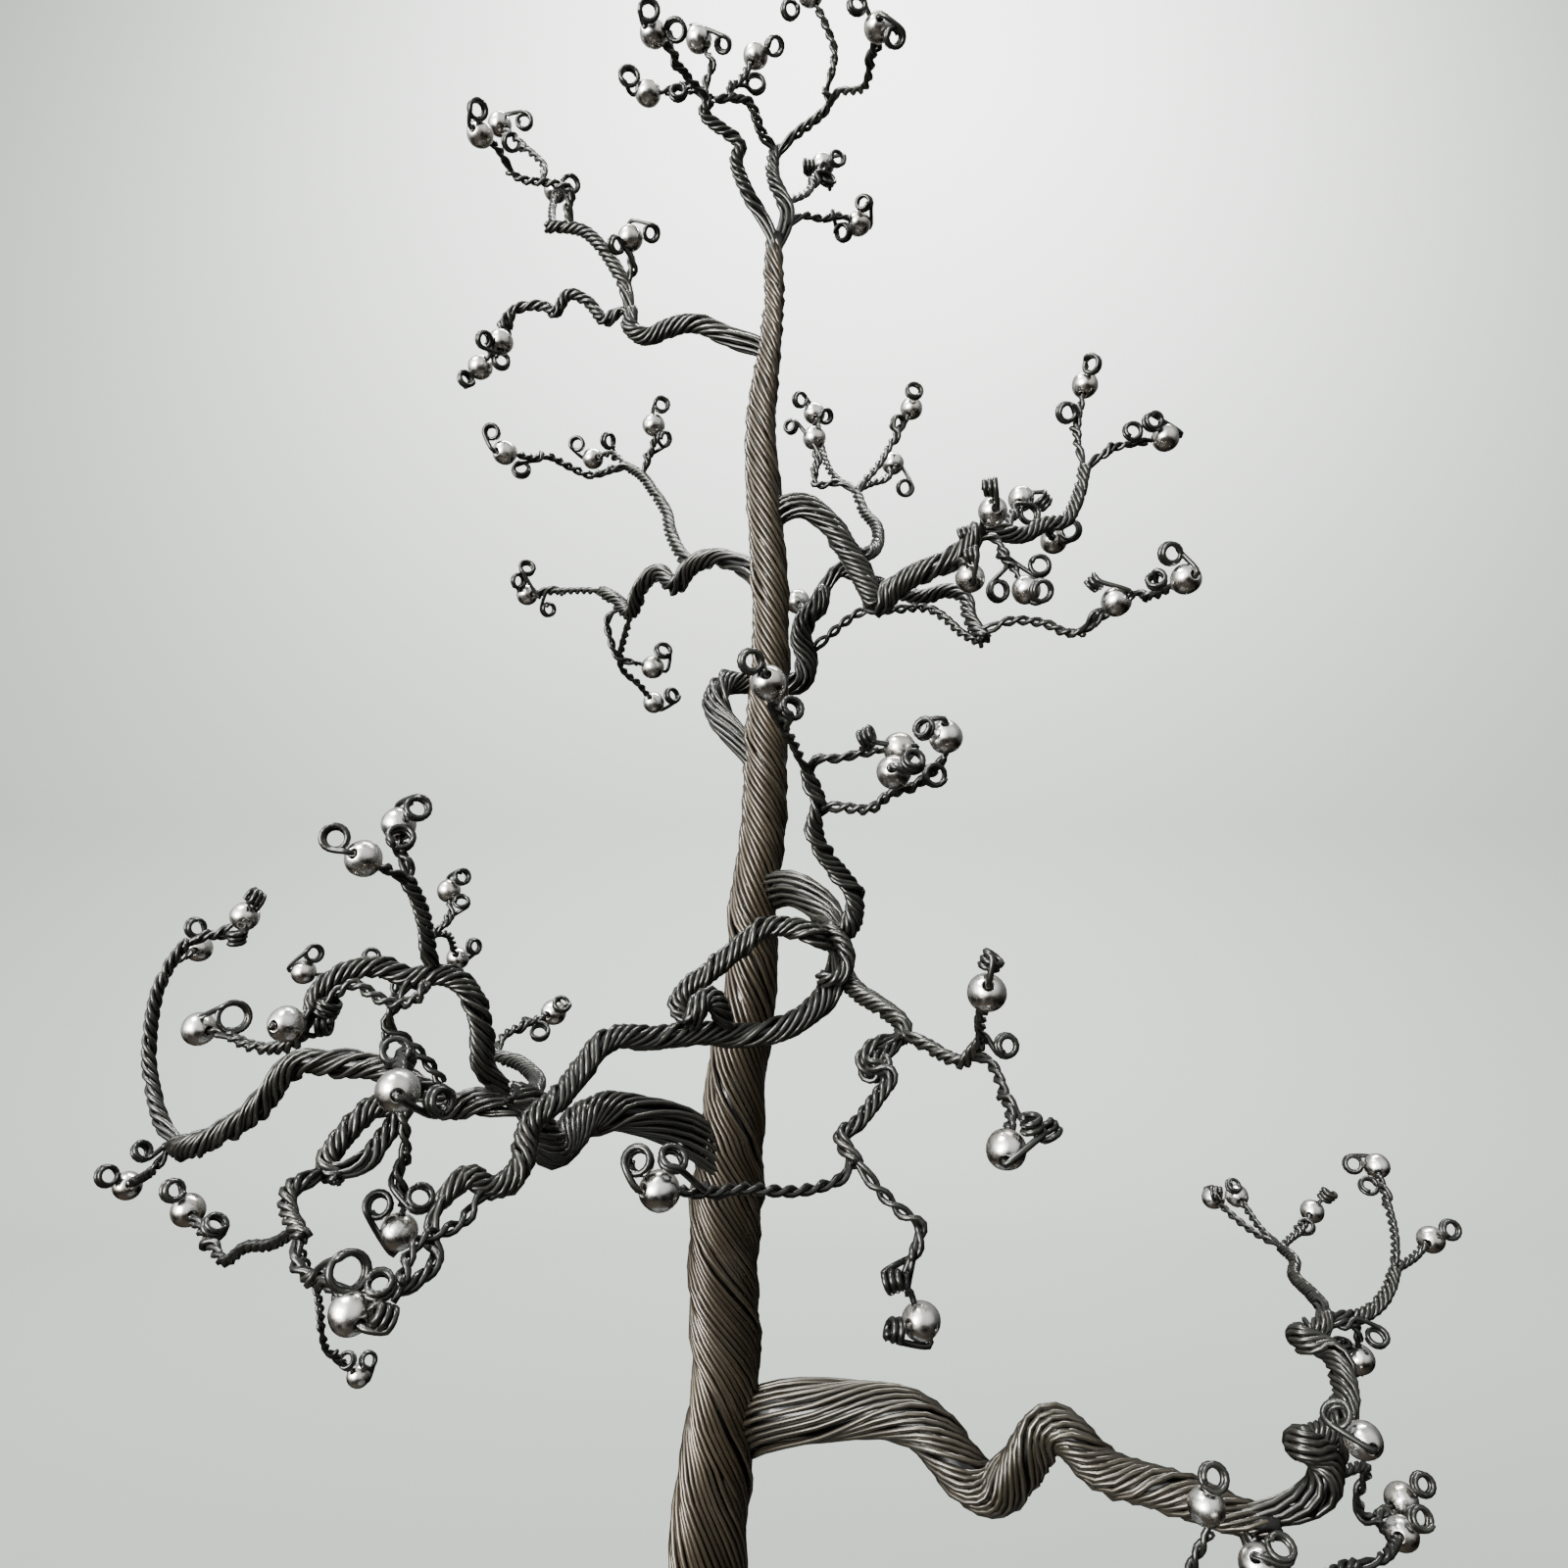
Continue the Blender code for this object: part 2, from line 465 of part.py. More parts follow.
def even_taper(points, start, end):
    """Thickness at each point, shrinking evenly with the length."""
    along = [0.0]
    for a, b in zip(points, points[1:]):
        along.append(along[-1] + (b - a).length)
    return [start + (end - start) * done / along[-1] for done in along]


def rope_tube(traced, name, start, end):
    """The tube of one rope."""
    points = [place(*bend) for bend in traced[name]]
    return points, even_taper(points, start, end), ROPE_SIDES


def twig_line(traced, parent, bends, bead):
    """A twig's points from its rope to its bead, the bead's middle, and the way the wire goes through it."""
    across, up, seen = bead
    route = [nearest_on(traced[parent], bends[0] if bends else bead)] + bends
    last = [bend[2] for bend in route if len(bend) == 3][-1]
    run = sum(math.dist(a[:2], b[:2]) for a, b in zip(route, bends + [bead]))
    most = TWIG_LEAN_ALWAYS + TWIG_LEAN * run
    behind = min(last + most, max(last - most, distance_behind(across, up, seen)))
    route = fill_distances(route + [(across, up, behind)])
    points = [place(*bend) for bend in route]
    middle = points.pop()
    way = (middle - points[-1]).normalized()
    return points, middle, way


def twig_tube(points, middle, way):
    """A pair of wires up to the bead, and one wire on through its bore."""
    lead = BEAD_DIAMETER / 2 + BEAD_LEAD
    points = [point for point in points if (middle - point).dot(way) > lead + WIRE_DIAMETER]
    before = middle - way * lead
    neck = middle - way * (BEAD_DIAMETER / 2 + GAP)
    beyond = middle + way * (BEAD_DIAMETER / 2 + WIRE_PAST_BEAD)
    thick = [TWIG_THICKNESS] * (len(points) + 1)
    return points + [before, neck, beyond], thick + [WIRE_DIAMETER] * 2, TWIG_SIDES


def trunk_line():
    """The trunk's points and thicknesses, from the plinth upwards."""
    seen = [(place(across, up, 0.0), thickness) for across, up, thickness in TRUNK_SEEN]
    first = seen[0][0]
    foot = Vector((0, 0, PLINTH_HEIGHT + GAP))
    knee = foot.lerp(first, 0.5) + Vector(((foot.x - first.x) / 4, 0, 0))
    return [foot, knee] + [point for point, _ in seen], [FOOT_THICKNESS] * 2 + [wide for _, wide in seen]


def root_line(number):
    """A root: down from the trunk's foot and out over the plinth, turning with the lay of the wires."""
    rest = PLINTH_HEIGHT + GAP
    profile = [(0.08, ROOT_RISE), (0.14, ROOT_RISE * 0.55), (0.24, ROOT_RISE * 0.25), (0.42, 0.0),
               (0.7, 0.0), (1.0, 0.0)]
    wide = [ROOT_THICKNESS] * 4 + [(ROOT_THICKNESS + ROOT_TIP_THICKNESS) / 2, ROOT_TIP_THICKNESS]
    length = ROOT_SPREAD * (1 + 0.1 * math.sin(2.6 * number))
    points = []
    for (share, rise), thickness in zip(profile, wide):
        turn = math.tau * number / ROOT_COUNT + ROOT_TURN * (1 - share)
        reach = share * length
        height = rest + max(rise, thickness / 2)
        points.append(Vector((math.cos(turn) * reach, math.sin(turn) * reach, height)))
    return points, wide, ROPE_SIDES


def inflated(line):
    """A tube line a gap thicker on every face, and a gap longer at its far end."""
    points, wide, sides = line
    beyond = points[-1] + (points[-1] - points[-2]).normalized() * GAP
    more = 2 * GAP / math.cos(math.pi / sides)
    return points[:-1] + [beyond], [thickness + more for thickness in wide], sides


def make_plinth(finish):
    """A low round block with a rounded upper edge."""
    bm = bmesh.new()
    size = PLINTH_DIAMETER / 2 * MM
    middle = Matrix.Translation((0, 0, PLINTH_HEIGHT / 2 * MM))
    bmesh.ops.create_cone(bm, cap_ends=True, segments=PLINTH_SIDES, radius1=size, radius2=size,
                          depth=PLINTH_HEIGHT * MM, matrix=middle)
    top = PLINTH_HEIGHT * 0.9 * MM
    rim = [edge for edge in bm.edges if all(vert.co.z > top for vert in edge.verts)]
    bmesh.ops.bevel(bm, geom=rim, offset=PLINTH_ROUNDING * MM, segments=2, profile=0.5, affect="EDGES")
    mesh = bpy.data.meshes.new("plinth")
    bm.to_mesh(mesh)
    bm.free()
    add_object("plinth", mesh, finish)


def make_trunk(finish):
    """The trunk with its roots, and its inflated guide."""
    points, wide = trunk_line()
    line = (points, wide, TRUNK_SIDES)
    trunk = add_object("trunk", tube_mesh("trunk", [line]), finish)
    roots = add_guide("roots_to_join", tube_mesh("roots", [root_line(k) for k in range(ROOT_COUNT)]))
    add_boolean(trunk, "UNION", roots)
    return add_guide("trunk_with_gap", tube_mesh("trunk_with_gap", [inflated(line)]))


def make_limb(name, traced, cutter, finish):
    """One limb: the union of its ropes and twigs, cut a gap away from the rope it leaves."""
    tubes = [rope_tube(traced, rope, start, end) for rope, _, start, end, _ in LIMBS[name]]
    tubes += [twig_tube(*twig_line(traced, *twig)) for twig in TWIGS[name]]
    limb = add_object(name, tube_mesh(name, tubes[:1]), finish)
    add_boolean(limb, "UNION", add_guide(f"{name}_to_join", tube_mesh(name, tubes[1:])))
    add_boolean(limb, "DIFFERENCE", cutter)


def bead_mesh():
    """A bored round bead about the Z axis: rings of the sphere between the bore's two ends."""
    radius = BEAD_DIAMETER / 2
    bore = BORE_DIAMETER / 2 / math.cos(math.pi / BEAD_SIDES)
    first = math.asin(bore / radius)
    angles = [first + (math.pi - 2 * first) * k / 4 for k in range(5)]
    outline = [(radius * math.sin(angle), radius * math.cos(angle)) for angle in angles]
    bm = bmesh.new()
    rings = []
    for reach, height in outline:
        turns = [math.tau * k / BEAD_SIDES for k in range(BEAD_SIDES)]
        ring = [bm.verts.new(Vector((math.cos(t) * reach, math.sin(t) * reach, height)) * MM) for t in turns]
        rings.append(ring)
    for high, low in zip(rings, rings[1:] + rings[:1]):
        for k in range(BEAD_SIDES):
            bm.faces.new((low[k - 1], low[k], high[k], high[k - 1]))
    mesh = bpy.data.meshes.new("bead")
    bm.to_mesh(mesh)
    bm.free()
    return mesh


def make_beads(name, traced, mesh):
    """The beads of one limb, each turned so that its wire goes straight through its bore."""
    near = [twig for twig in TWIGS[name] if twig[2][2] >= SMALLEST_BEAD_SEEN]
    for number, twig in enumerate(near, 1):
        _, middle, way = twig_line(traced, *twig)
        bead = add_object(f"{name}_bead_{number}", mesh)
        bead.location = middle * MM
        bead.rotation_euler = way.to_track_quat("Z", "Y").to_euler()


def main():
    clear_scene()
    wire = material("annealed steel wire", (0.09, 0.085, 0.08), 0.9, 0.45)
    silver = material("silver plate", (0.85, 0.85, 0.84), 1.0, 0.18)
    stone = material("dark slate", (0.05, 0.052, 0.055), 0.0, 0.7)
    traced = trace_ropes()
    make_plinth(stone)
    cutters = {"trunk": make_trunk(wire)}
    sizes = {rope[0]: rope[2:4] for ropes in LIMBS.values() for rope in ropes}
    for rope in sorted(set(PARTED_FROM.values()) - {"trunk"}):
        line = inflated(rope_tube(traced, rope, *sizes[rope]))
        cutters[rope] = add_guide(f"{rope}_with_gap", tube_mesh(rope, [line]))
    bead = bead_mesh()
    bead.materials.append(silver)
    for name, parent in PARTED_FROM.items():
        make_limb(name, traced, cutters[parent], wire)
        make_beads(name, traced, bead)


main()
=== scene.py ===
"""Looks of a tree of twisted steel wire with silver beads, on a low round slate plinth.

Every rope of the tree is laid up from single wires. A wire of a rope is a helix round the rope's middle
line, left-handed as the real lay is. Where a rope leaves another, its wires first run with the rope they
come from and then peel off. A twig is a pair of wires: one goes through a bead and is coiled beyond it,
the other is coiled beside it. Lengths are in millimetres until a mesh is written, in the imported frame.

The tree's pose is given as it is seen from its front on a sight sheet, a sheet held square to the line
of sight at SHEET_DISTANCE before the eye: across and up from its middle. A third number is a distance
behind the trunk's upright plane, and it is filled in evenly along a rope where it isn't given.
"""
import math

import bpy
import numpy as np
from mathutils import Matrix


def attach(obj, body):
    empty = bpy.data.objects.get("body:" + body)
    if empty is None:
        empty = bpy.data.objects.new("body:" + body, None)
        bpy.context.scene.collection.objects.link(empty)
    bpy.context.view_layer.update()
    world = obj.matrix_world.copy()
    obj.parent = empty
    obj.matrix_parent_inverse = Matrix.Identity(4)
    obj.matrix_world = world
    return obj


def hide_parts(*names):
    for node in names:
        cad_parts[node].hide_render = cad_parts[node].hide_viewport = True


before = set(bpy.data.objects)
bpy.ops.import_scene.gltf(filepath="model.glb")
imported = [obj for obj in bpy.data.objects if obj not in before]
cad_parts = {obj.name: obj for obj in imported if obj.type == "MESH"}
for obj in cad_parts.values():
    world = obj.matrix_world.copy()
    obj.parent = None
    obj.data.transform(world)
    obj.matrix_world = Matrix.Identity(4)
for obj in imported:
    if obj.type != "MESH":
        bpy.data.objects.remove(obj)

bl_info = {
    "name": "Wire tree with silver beads",
    "version": (1, 0, 0),
    "blender": (4, 5, 0),
    "location": "3D View > Sidebar > Wire tree",
    "description": "Lays up the wires, beads and plinth of a twisted wire tree around its packed solids",
    "category": "Add Mesh",
}

MM = 0.001
BODY = "root"
SEED = 11

# The plinth and roots, as the solids have them
PLINTH_DIAMETER = 150.0
PLINTH_HEIGHT = 16.0
PLINTH_ROUNDING = 2.5
GAP = 0.3
ROOT_COUNT = 8
ROOT_SPREAD = 54.0
ROOT_THICKNESS = 5.4
ROOT_TIP_THICKNESS = 2.6
ROOT_RISE = 40.0
ROOT_TURN = math.radians(24)
ROOT_COIL_RADIUS = 1.7
FOOT_THICKNESS = 17.0

# Twigs, as the solids have them
BEAD_SIZE = 6.0
BEAD_LEAD = 0.9
TWIG_LEAN = 1.2
TWIG_LEAN_ALWAYS = 7.0
SMALLEST_BEAD_SEEN = 5.2

# The sight sheet
SHEET_DISTANCE = 240.0
EYE = (15.0, -252.0, 200.0 + PLINTH_HEIGHT)
LOOK_UP = math.radians(8)
LENS = 27.0
SENSOR = 36.0

# Where the patches of light round the tree are: the cosines from the middle of a patch at which it begins
# and is full, and its strength
WINDOW = ((-0.68, -0.69, 0.24), 0.74, 0.88, 4.5)
HIGH_WINDOW = ((-0.72, -0.45, 0.53), 0.64, 0.86, 1.3)
FRONT = ((0.42, -0.72, 0.55), 0.6, 0.95, 0.9)
CEILING_LIGHT = 0.3

# The lights: place, width and power, tint, and what each is aimed at, in metres and watts
TREE_MIDDLE = (0.015, 0.0, 0.24)
WALL_MIDDLE = (0.1, 1.0, 1.0)
LIGHTS = {
    "key": ((-0.8, -0.9, 0.44), 0.6, 34.0, (1.0, 0.99, 0.96), TREE_MIDDLE),
    "top": ((-0.5, -0.25, 1.2), 0.35, 15.0, (0.97, 0.99, 1.0), TREE_MIDDLE),
    "wall": ((0.1, 0.35, 1.3), 0.7, 118.0, (1.0, 1.0, 0.98), WALL_MIDDLE),
}

# The backdrop: half its width, its height, how far back its wall is, and the radius between floor and wall
SWEEP_HALF_WIDTH = 2500.0
SWEEP_HEIGHT = 2600.0
SWEEP_BACK = 1000.0
SWEEP_RADIUS = 350.0

# How finely the wires are drawn
WIRE_SIDES = 5
ROOT_SIDES = 4
TRUNK_STEP = 3.3
ROOT_STEP = 2.4
ROPE_STEP = 3.0
LEAST_STEP = 1.2
SHARPEST_STEP = 0.26
TWIG_STEP = 0.8
PEEL_POINTS = 8
FULLER = 1.06
LEAST_GAP = 0.02
EVEN_STEP = 0.3
SPAN_SAMPLES = 20

# How loosely a rope is laid up. One of more than PLAIN_WIRES wires is gathered in strands, and some of its
# wires stray. Shares are of a wire's room, of the rope's reach or of a wire's thickness.
PLAIN_WIRES = 7
MANY_WIRES = 26
CORED_WIRES = 5
STRAND_SHIFT = 0.03
STRAND_DEPTH = 0.04
STRAY_SHARE = 0.1
STRAY_SHIFT = 1.1
STRAY_LIFT = 0.5
WAVE_SHIFT = 0.07
WAVE_LIFT = 0.09
SUNK_LIFT = -1.4
TIP_CLOSED = 0.45
CORE_START = 0.18
CORE_GROWTH = 0.34

# How far wires spread where they leave a rope squarely, and over what length
FAN_SPREAD = 0.4
FAN_REACHES = 4.5
FAN_MORE = 4.0
FAN_AIM = 12.0

# A twig's thickness in wires, and its loops. One that is turned by EDGE_ON degrees or more is seen edge-on,
# and the others are turned by only LESS_TURNED of what they seem to be.
PAIR_THICKNESS = 1.8
EDGE_ON = 70
EDGE_ON_RADIUS = 1.6
LOOP_RADIUS = 1.85
LESS_TURNED = 0.6
LOOP_FROM_BEAD = 2.2
LOOP_NEAR_TWIG = 2.6
LOOP_BEFORE_TWIG = 2.4

# The trunk as it is seen, from below upwards: across, up, thickness
TRUNK_SEEN = [
    (-15.6, -158, 15.2), (-14.6, -146, 14.8), (-13, -130, 13.8), (-11.8, -120, 13.6),
    (-12.4, -99, 14.2), (-11.6, -85, 14.6), (-10.6, -71, 13.4), (-9.4, -57, 12.0),
    (-6.6, -39.6, 11.0), (-6.2, -23.6, 10.0), (-4.4, -11, 9.8), (-3.8, 1.8, 9.6),
    (-3.6, 11.4, 9.2), (-2.8, 27.4, 8.2), (-2.8, 40, 8.2), (-4.0, 56, 8.0), (-4.8, 72, 7.2),
    (-3.4, 86, 6.0), (-2, 98.8, 5.0), (-2.2, 107, 5.2), (-1.8, 112, 5.6),
]

# Each limb: the ropes it is made of, each with the rope it leaves, its thickness at its start and its end,
# and its bends on the sheet. A third number at a bend is its distance behind the trunk's plane.
LIMBS = {
    "crown": [
        ("crown_left", "trunk", 3.6, 2.8, [
            (-3.4, 115), (-6.8, 119.4), (-9.8, 127.4), (-8.8, 130.6), (-12.4, 133.4), (-16.4, 137),
            (-15, 139.8, -10)]),
        ("crown_right", "trunk", 4.2, 3.2, [
            (0.8, 114.4), (0.2, 118.4), (-2, 123.2), (-2.2, 128.2), (-0.6, 130, 4)]),
        ("crown_bridge", "crown_right", 2.6, 2.4, [
            (-4.4, 132.6), (-6.4, 138), (-8, 139.8), (-12, 139.9), (-14.8, 140, -9.5)]),
        ("crown_fork", "crown_right", 2.6, 2.4, [
            (3.4, 133.4), (8, 137), (9.4, 139.8), (8, 141.8, -8)]),
    ],
    "upper_left_limb": [
        ("upper_left_stem", "trunk", 4.8, 4.2, [
            (-7.4, 89.8), (-11.4, 91.4), (-18, 94), (-23.2, 93.2), (-28.2, 91.2), (-31.4, 93.2),
            (-31, 97.2, 6)]),
        ("upper_left_rise", "upper_left_stem", 3.6, 3.0, [
            (-32.4, 101.4), (-36.4, 108.4), (-40.8, 112.8), (-44.4, 113.6), (-48.6, 113.6, 10)]),
        ("upper_left_tip", "upper_left_rise", 2.6, 2.2, [
            (-44.2, 116.6), (-43.6, 121.2), (-47.4, 122.6), (-53.4, 123.4), (-56.4, 125.2, 4)]),
        ("upper_left_drop", "upper_left_stem", 3.2, 2.6, [
            (-33.4, 97.2), (-36.4, 94.4), (-39.8, 98.2), (-44, 100), (-46.8, 96), (-48.4, 97.2),
            (-52.4, 97.6), (-55.6, 96.2), (-56.4, 93, 12)]),
    ],
    "left_limb": [
        ("left_stem", "trunk", 4.8, 3.8, [
            (-8, 44.6), (-13.8, 46.2), (-19, 44.2), (-22.2, 40.2), (-25.6, 43.2), (-29.6, 39.6),
            (-31.2, 34.8), (-34.2, 37.4), (-37.4, 39.4, 44)]),
        ("left_rise", "left_stem", 3.4, 2.8, [
            (-23, 50.8), (-24, 55.4), (-26.6, 59.6), (-29.2, 63), (-32.2, 64.8, 52)]),
        ("left_rise_tip", "left_rise", 2.6, 2.2, [
            (-35.4, 64.2), (-39.4, 63), (-43.4, 64.6), (-48, 67, 34)]),
    ],
    "right_limb": [
        ("right_stem", "trunk", 5.4, 5.0, [
            (0.2, 57), (4.6, 56.6), (9.4, 53), (13.6, 46.6), (17, 40.4), (19.4, 36, -4), (22.4, 40),
            (27.8, 43.2), (34.8, 46), (38.2, 49.4), (39.8, 53, -14)]),
        ("right_reach", "right_stem", 4.0, 3.0, [
            (43.2, 51.8), (48.8, 50.8), (53, 53), (57.2, 53.6), (60, 58.6), (61.4, 65, -6)]),
        ("right_rise", "right_stem", 3.4, 2.6, [
            (18.6, 48), (19, 52.2), (16.4, 55.4), (14.6, 60, 26)]),
    ],
    "far_right_limb": [
        ("behind_stem", "trunk", 6.0, 4.8, [
            (-9, 9.6), (-12.8, 13.2), (-14.2, 17, 8), (-12, 20.6, 12), (-8, 20.6, 15), (-1, 20.4, 15),
            (3.6, 21), (4.8, 25), (3.4, 30), (4.2, 33.6), (7, 36.4), (8.4, 40.2, 12)]),
        ("behind_reach", "behind_stem", 3.8, 3.4, [
            (10.6, 44, 12), (14.4, 43, 13), (22, 39.6, 12), (28.4, 38.2), (33.4, 39.4), (37, 38.2),
            (37.8, 34), (41, 29.4, -10)]),
        ("behind_second", "behind_stem", 2.4, 2.3, [
            (8, 29.2, 12), (11.6, 32.4), (15.6, 35, 8), (22.8, 35.6, 8), (29.2, 35.8), (32.6, 34),
            (36.2, 30.8), (40.4, 28.6, -9)]),
        ("far_reach", "behind_reach", 2.4, 2.2, [
            (43.6, 32.4), (47.4, 33.4), (53.6, 32.6), (57.8, 30.8), (61.4, 31, -20)]),
    ],
    "front_limb": [
        ("front_stem", "trunk", 7.8, 5.8, [
            (-1, -21), (2.2, -21), (6.4, -24.2), (9.6, -29, -14), (10.2, -33, -18)]),
        ("front_rise", "front_stem", 4.2, 3.0, [
            (13, -30.6, -21), (14.4, -26.8), (14.4, -23), (11.6, -18.4), (7.4, -13.2), (6.2, -8),
            (7.2, -4.2), (6, -0.6), (4.2, 3, -34)]),
        ("front_rise_twig", "front_rise", 2.4, 2.2, [
            (12, -4.8), (18, -5), (21.6, -2), (26.4, -0.6), (30.8, 3, -44)]),
        ("front_left_stem", "front_stem", 5.0, 3.8, [
            (11.2, -37.2, -20), (9.2, -42), (4.6, -47.2, -26), (-1.8, -50.4), (-9.4, -51.2, -30),
            (-14.4, -50.8), (-19.6, -51), (-27.2, -51.8), (-33.6, -51.4), (-37.4, -53.4),
            (-41.6, -58.4), (-46.6, -65), (-50.6, -67.4, -56), (-52.6, -71.4), (-53, -76.8),
            (-56.2, -81), (-60.4, -82.4), (-64, -79.8), (-67, -81.8), (-70.2, -85.8, -66)]),
        ("front_left_tail", "front_left_stem", 2.8, 2.4, [
            (-72.2, -90.4), (-71.8, -94.2), (-71, -97.4), (-75.4, -101.6), (-80.4, -105, -80)]),
        ("front_left_second", "front_left_stem", 2.4, 2.3, [
            (-63.6, -85.4), (-64.8, -88.6), (-69.6, -91.4), (-74, -92.6), (-76.8, -97),
            (-78.2, -102.6, -79)]),
        ("front_left_loop", "front_left_stem", 4.4, 4.0, [
            (7.4, -31.6, -24), (1.4, -29, -24), (-4.2, -29.6, -25), (-9.4, -33.4), (-14.4, -37.8),
            (-20, -42), (-21.4, -46), (-18.4, -49.4, -32)]),
        ("front_right_stem", "front_stem", 4.2, 3.6, [
            (12.6, -39.6, -21), (15.6, -42.8), (20.6, -46), (24.2, -49.2), (24, -52.6, -36)]),
        ("front_right_arm", "front_right_stem", 2.8, 2.6, [
            (27.4, -52.6), (32, -55), (36.4, -56.8), (38.8, -54.4), (40.6, -52.4, -52)]),
        ("front_right_drop", "front_right_stem", 3.0, 2.8, [
            (20.8, -55, -40), (17.6, -57), (21.8, -59.2), (19, -64), (14.8, -69.4), (11.6, -71.8),
            (14.8, -77.6, -56)]),
        ("front_right_tail", "front_right_drop", 2.4, 2.2, [
            (19.6, -83), (23.8, -87.2), (27.8, -90), (27.4, -94), (25.8, -97.4, -62)]),
    ],
    "lower_left_limb": [
        ("lower_left_stem", "trunk", 8.6, 6.0, [
            (-19, -70.6), (-28.2, -67.8), (-34, -66.8, -12), (-40.2, -67.8), (-43.6, -71.2),
            (-46.8, -75, -26), (-49.6, -71), (-51.6, -64.8), (-56.4, -62.8, -36)]),
        ("lower_left_arch", "lower_left_stem", 4.6, 3.4, [
            (-61.2, -59.4), (-61.6, -52.2), (-62.8, -44.8), (-66, -40.4), (-71.6, -38.8),
            (-76.6, -39.4), (-81.8, -37.6), (-86.8, -37.4), (-92.4, -40), (-96.2, -43.8),
            (-96.6, -47, -48)]),
        ("lower_left_arch_end", "lower_left_arch", 2.8, 2.2, [
            (-99.6, -52.6), (-104.8, -54), (-109.2, -53.4), (-113.4, -51.2, -40)]),
        ("lower_left_mast", "lower_left_arch", 3.0, 2.8, [
            (-72.8, -32), (-74, -25.6), (-77, -19.2, -52)]),
        ("lower_left_arm", "lower_left_stem", 5.2, 4.6, [
            (-63.8, -64.8), (-67.8, -66), (-74, -62.4), (-83, -58), (-91.4, -57.2), (-99, -56.8),
            (-102, -59.4), (-107.2, -66), (-113.6, -70.6), (-120, -73.8, -18), (-125, -74, -10)]),
        ("lower_left_far", "lower_left_arm", 3.4, 2.6, [
            (-128, -66, -6), (-129.6, -54, -2), (-127, -40), (-121.6, -31.8, 0)]),
        ("lower_left_cross", "lower_left_arch", 2.4, 2.3, [
            (-79.6, -45.6, -46), (-81, -49), (-76.6, -52.8), (-72.8, -56.6), (-69.8, -61, -42)]),
        ("lower_left_fork", "lower_left_arm", 4.2, 3.6, [
            (-79, -64.6, -52), (-84.6, -66.4), (-88.3, -69.9), (-91.2, -73.4), (-93.2, -76.6),
            (-92.8, -79.6), (-90.6, -80.6, -62)]),
        ("lower_left_fork_end", "lower_left_fork", 3.2, 2.8, [
            (-96.2, -80.4), (-101, -83), (-101, -87.6), (-98, -93, -74)]),
    ],
    "lower_left_back_limb": [
        ("lower_left_back", "lower_left_stem", 3.4, 2.6, [
            (-50.4, -60.4, -17), (-54, -57, -6), (-61.2, -54, 6), (-62.4, -46, 18), (-65.6, -40.8, 30),
            (-71.6, -39, 36), (-79.4, -39, 40), (-87, -37.8, 42)]),
        ("lower_left_hanger", "lower_left_back", 2.4, 2.3, [
            (-79.8, -45.6, 40), (-81.4, -52), (-83, -66), (-88, -72), (-92.6, -77.4), (-96.4, -80.6),
            (-101, -84), (-100.4, -88.6), (-98.6, -95), (-95.2, -104, 50), (-94.4, -111.4, 52)]),
    ],
    "lower_right_limb": [
        ("lower_right_stem", "trunk", 11.0, 6.4, [
            (-2, -128.2), (6, -128), (14, -127.6), (20.6, -127.8), (28.2, -130.5), (34.3, -136.9),
            (38.4, -142.4), (42.9, -144.2), (47.1, -140.9), (50.4, -136.2), (54.4, -131.4),
            (58.4, -133), (62.6, -138), (69, -141.6), (76, -143.4), (86, -147), (95.4, -150.4),
            (101.4, -151.4, -40)]),
        ("lower_right_end", "lower_right_stem", 4.2, 3.2, [
            (96, -156, -42), (100, -161, -44), (108, -163, -44), (117, -159.4, -40)]),
    ],
    "lower_right_rise_limb": [
        ("lower_right_rise", "lower_right_stem", 6.0, 4.4, [
            (107.2, -147.2), (110.8, -141.6), (110, -137, -40), (105.8, -135, -41), (106, -134.2, -33),
            (110.4, -132.6, -30), (114.6, -127), (113.6, -119.4), (111.2, -115.4, -14),
            (105.6, -113.2, -12), (105.8, -112, -5), (109.8, -110.8, -2), (110.8, -107.6, 0)]),
        ("lower_right_tip", "lower_right_rise", 3.2, 2.6, [
            (107.6, -104), (104, -100.2), (104.2, -97.4), (101.2, -94.4, 50)]),
        ("lower_right_far", "lower_right_rise", 3.6, 2.8, [
            (114.6, -109, 2), (119, -108), (123, -104, 6), (124.6, -99, 10)]),
    ],
}

# Turns of rope that hold limbs together. They are given as the limbs are, and made with the limb's twigs.
TURNS = {
    "front_limb": [
        ("front_left_hook", "front_left_stem", 4.4, 4.2, [
            (-20.2, -49.2, -38), (-18, -46.6, -38), (-16.1, -43.6), (-14, -44, -36), (-12.6, -47),
            (-11.3, -50.4, -31)]),
        ("front_knot", "front_stem", 3.4, 3.0, [
            (9, -29.8, -21), (12, -32.4, -24), (13, -36.4, -25), (10.6, -40, -26), (7.4, -39.4, -23)]),
        ("front_right_coil", "front_right_stem", 2.8, 2.4, [
            (22.4, -52.4, -38), (18.6, -53, -40), (15.9, -56.2), (16.7, -59.3), (19.1, -60.1, -42),
            (20.8, -57.6, -43), (20.2, -54.6, -39)]),
    ],
    "lower_left_limb": [
        ("lower_left_return", "lower_left_fork", 3.6, 3.2, [
            (-87.8, -79.4, -61), (-84.6, -76.2), (-82, -72.6), (-79.6, -69.4), (-77, -66, -52)]),
        ("lower_left_under_arch", "lower_left_arch", 2.3, 2.3, [
            (-94, -45.2), (-91, -42.4), (-87.4, -40.8), (-84.6, -42.6), (-81.4, -44.4), (-77.8, -44.8),
            (-74.4, -43.4), (-73, -40.4, -49)]),
    ],
}

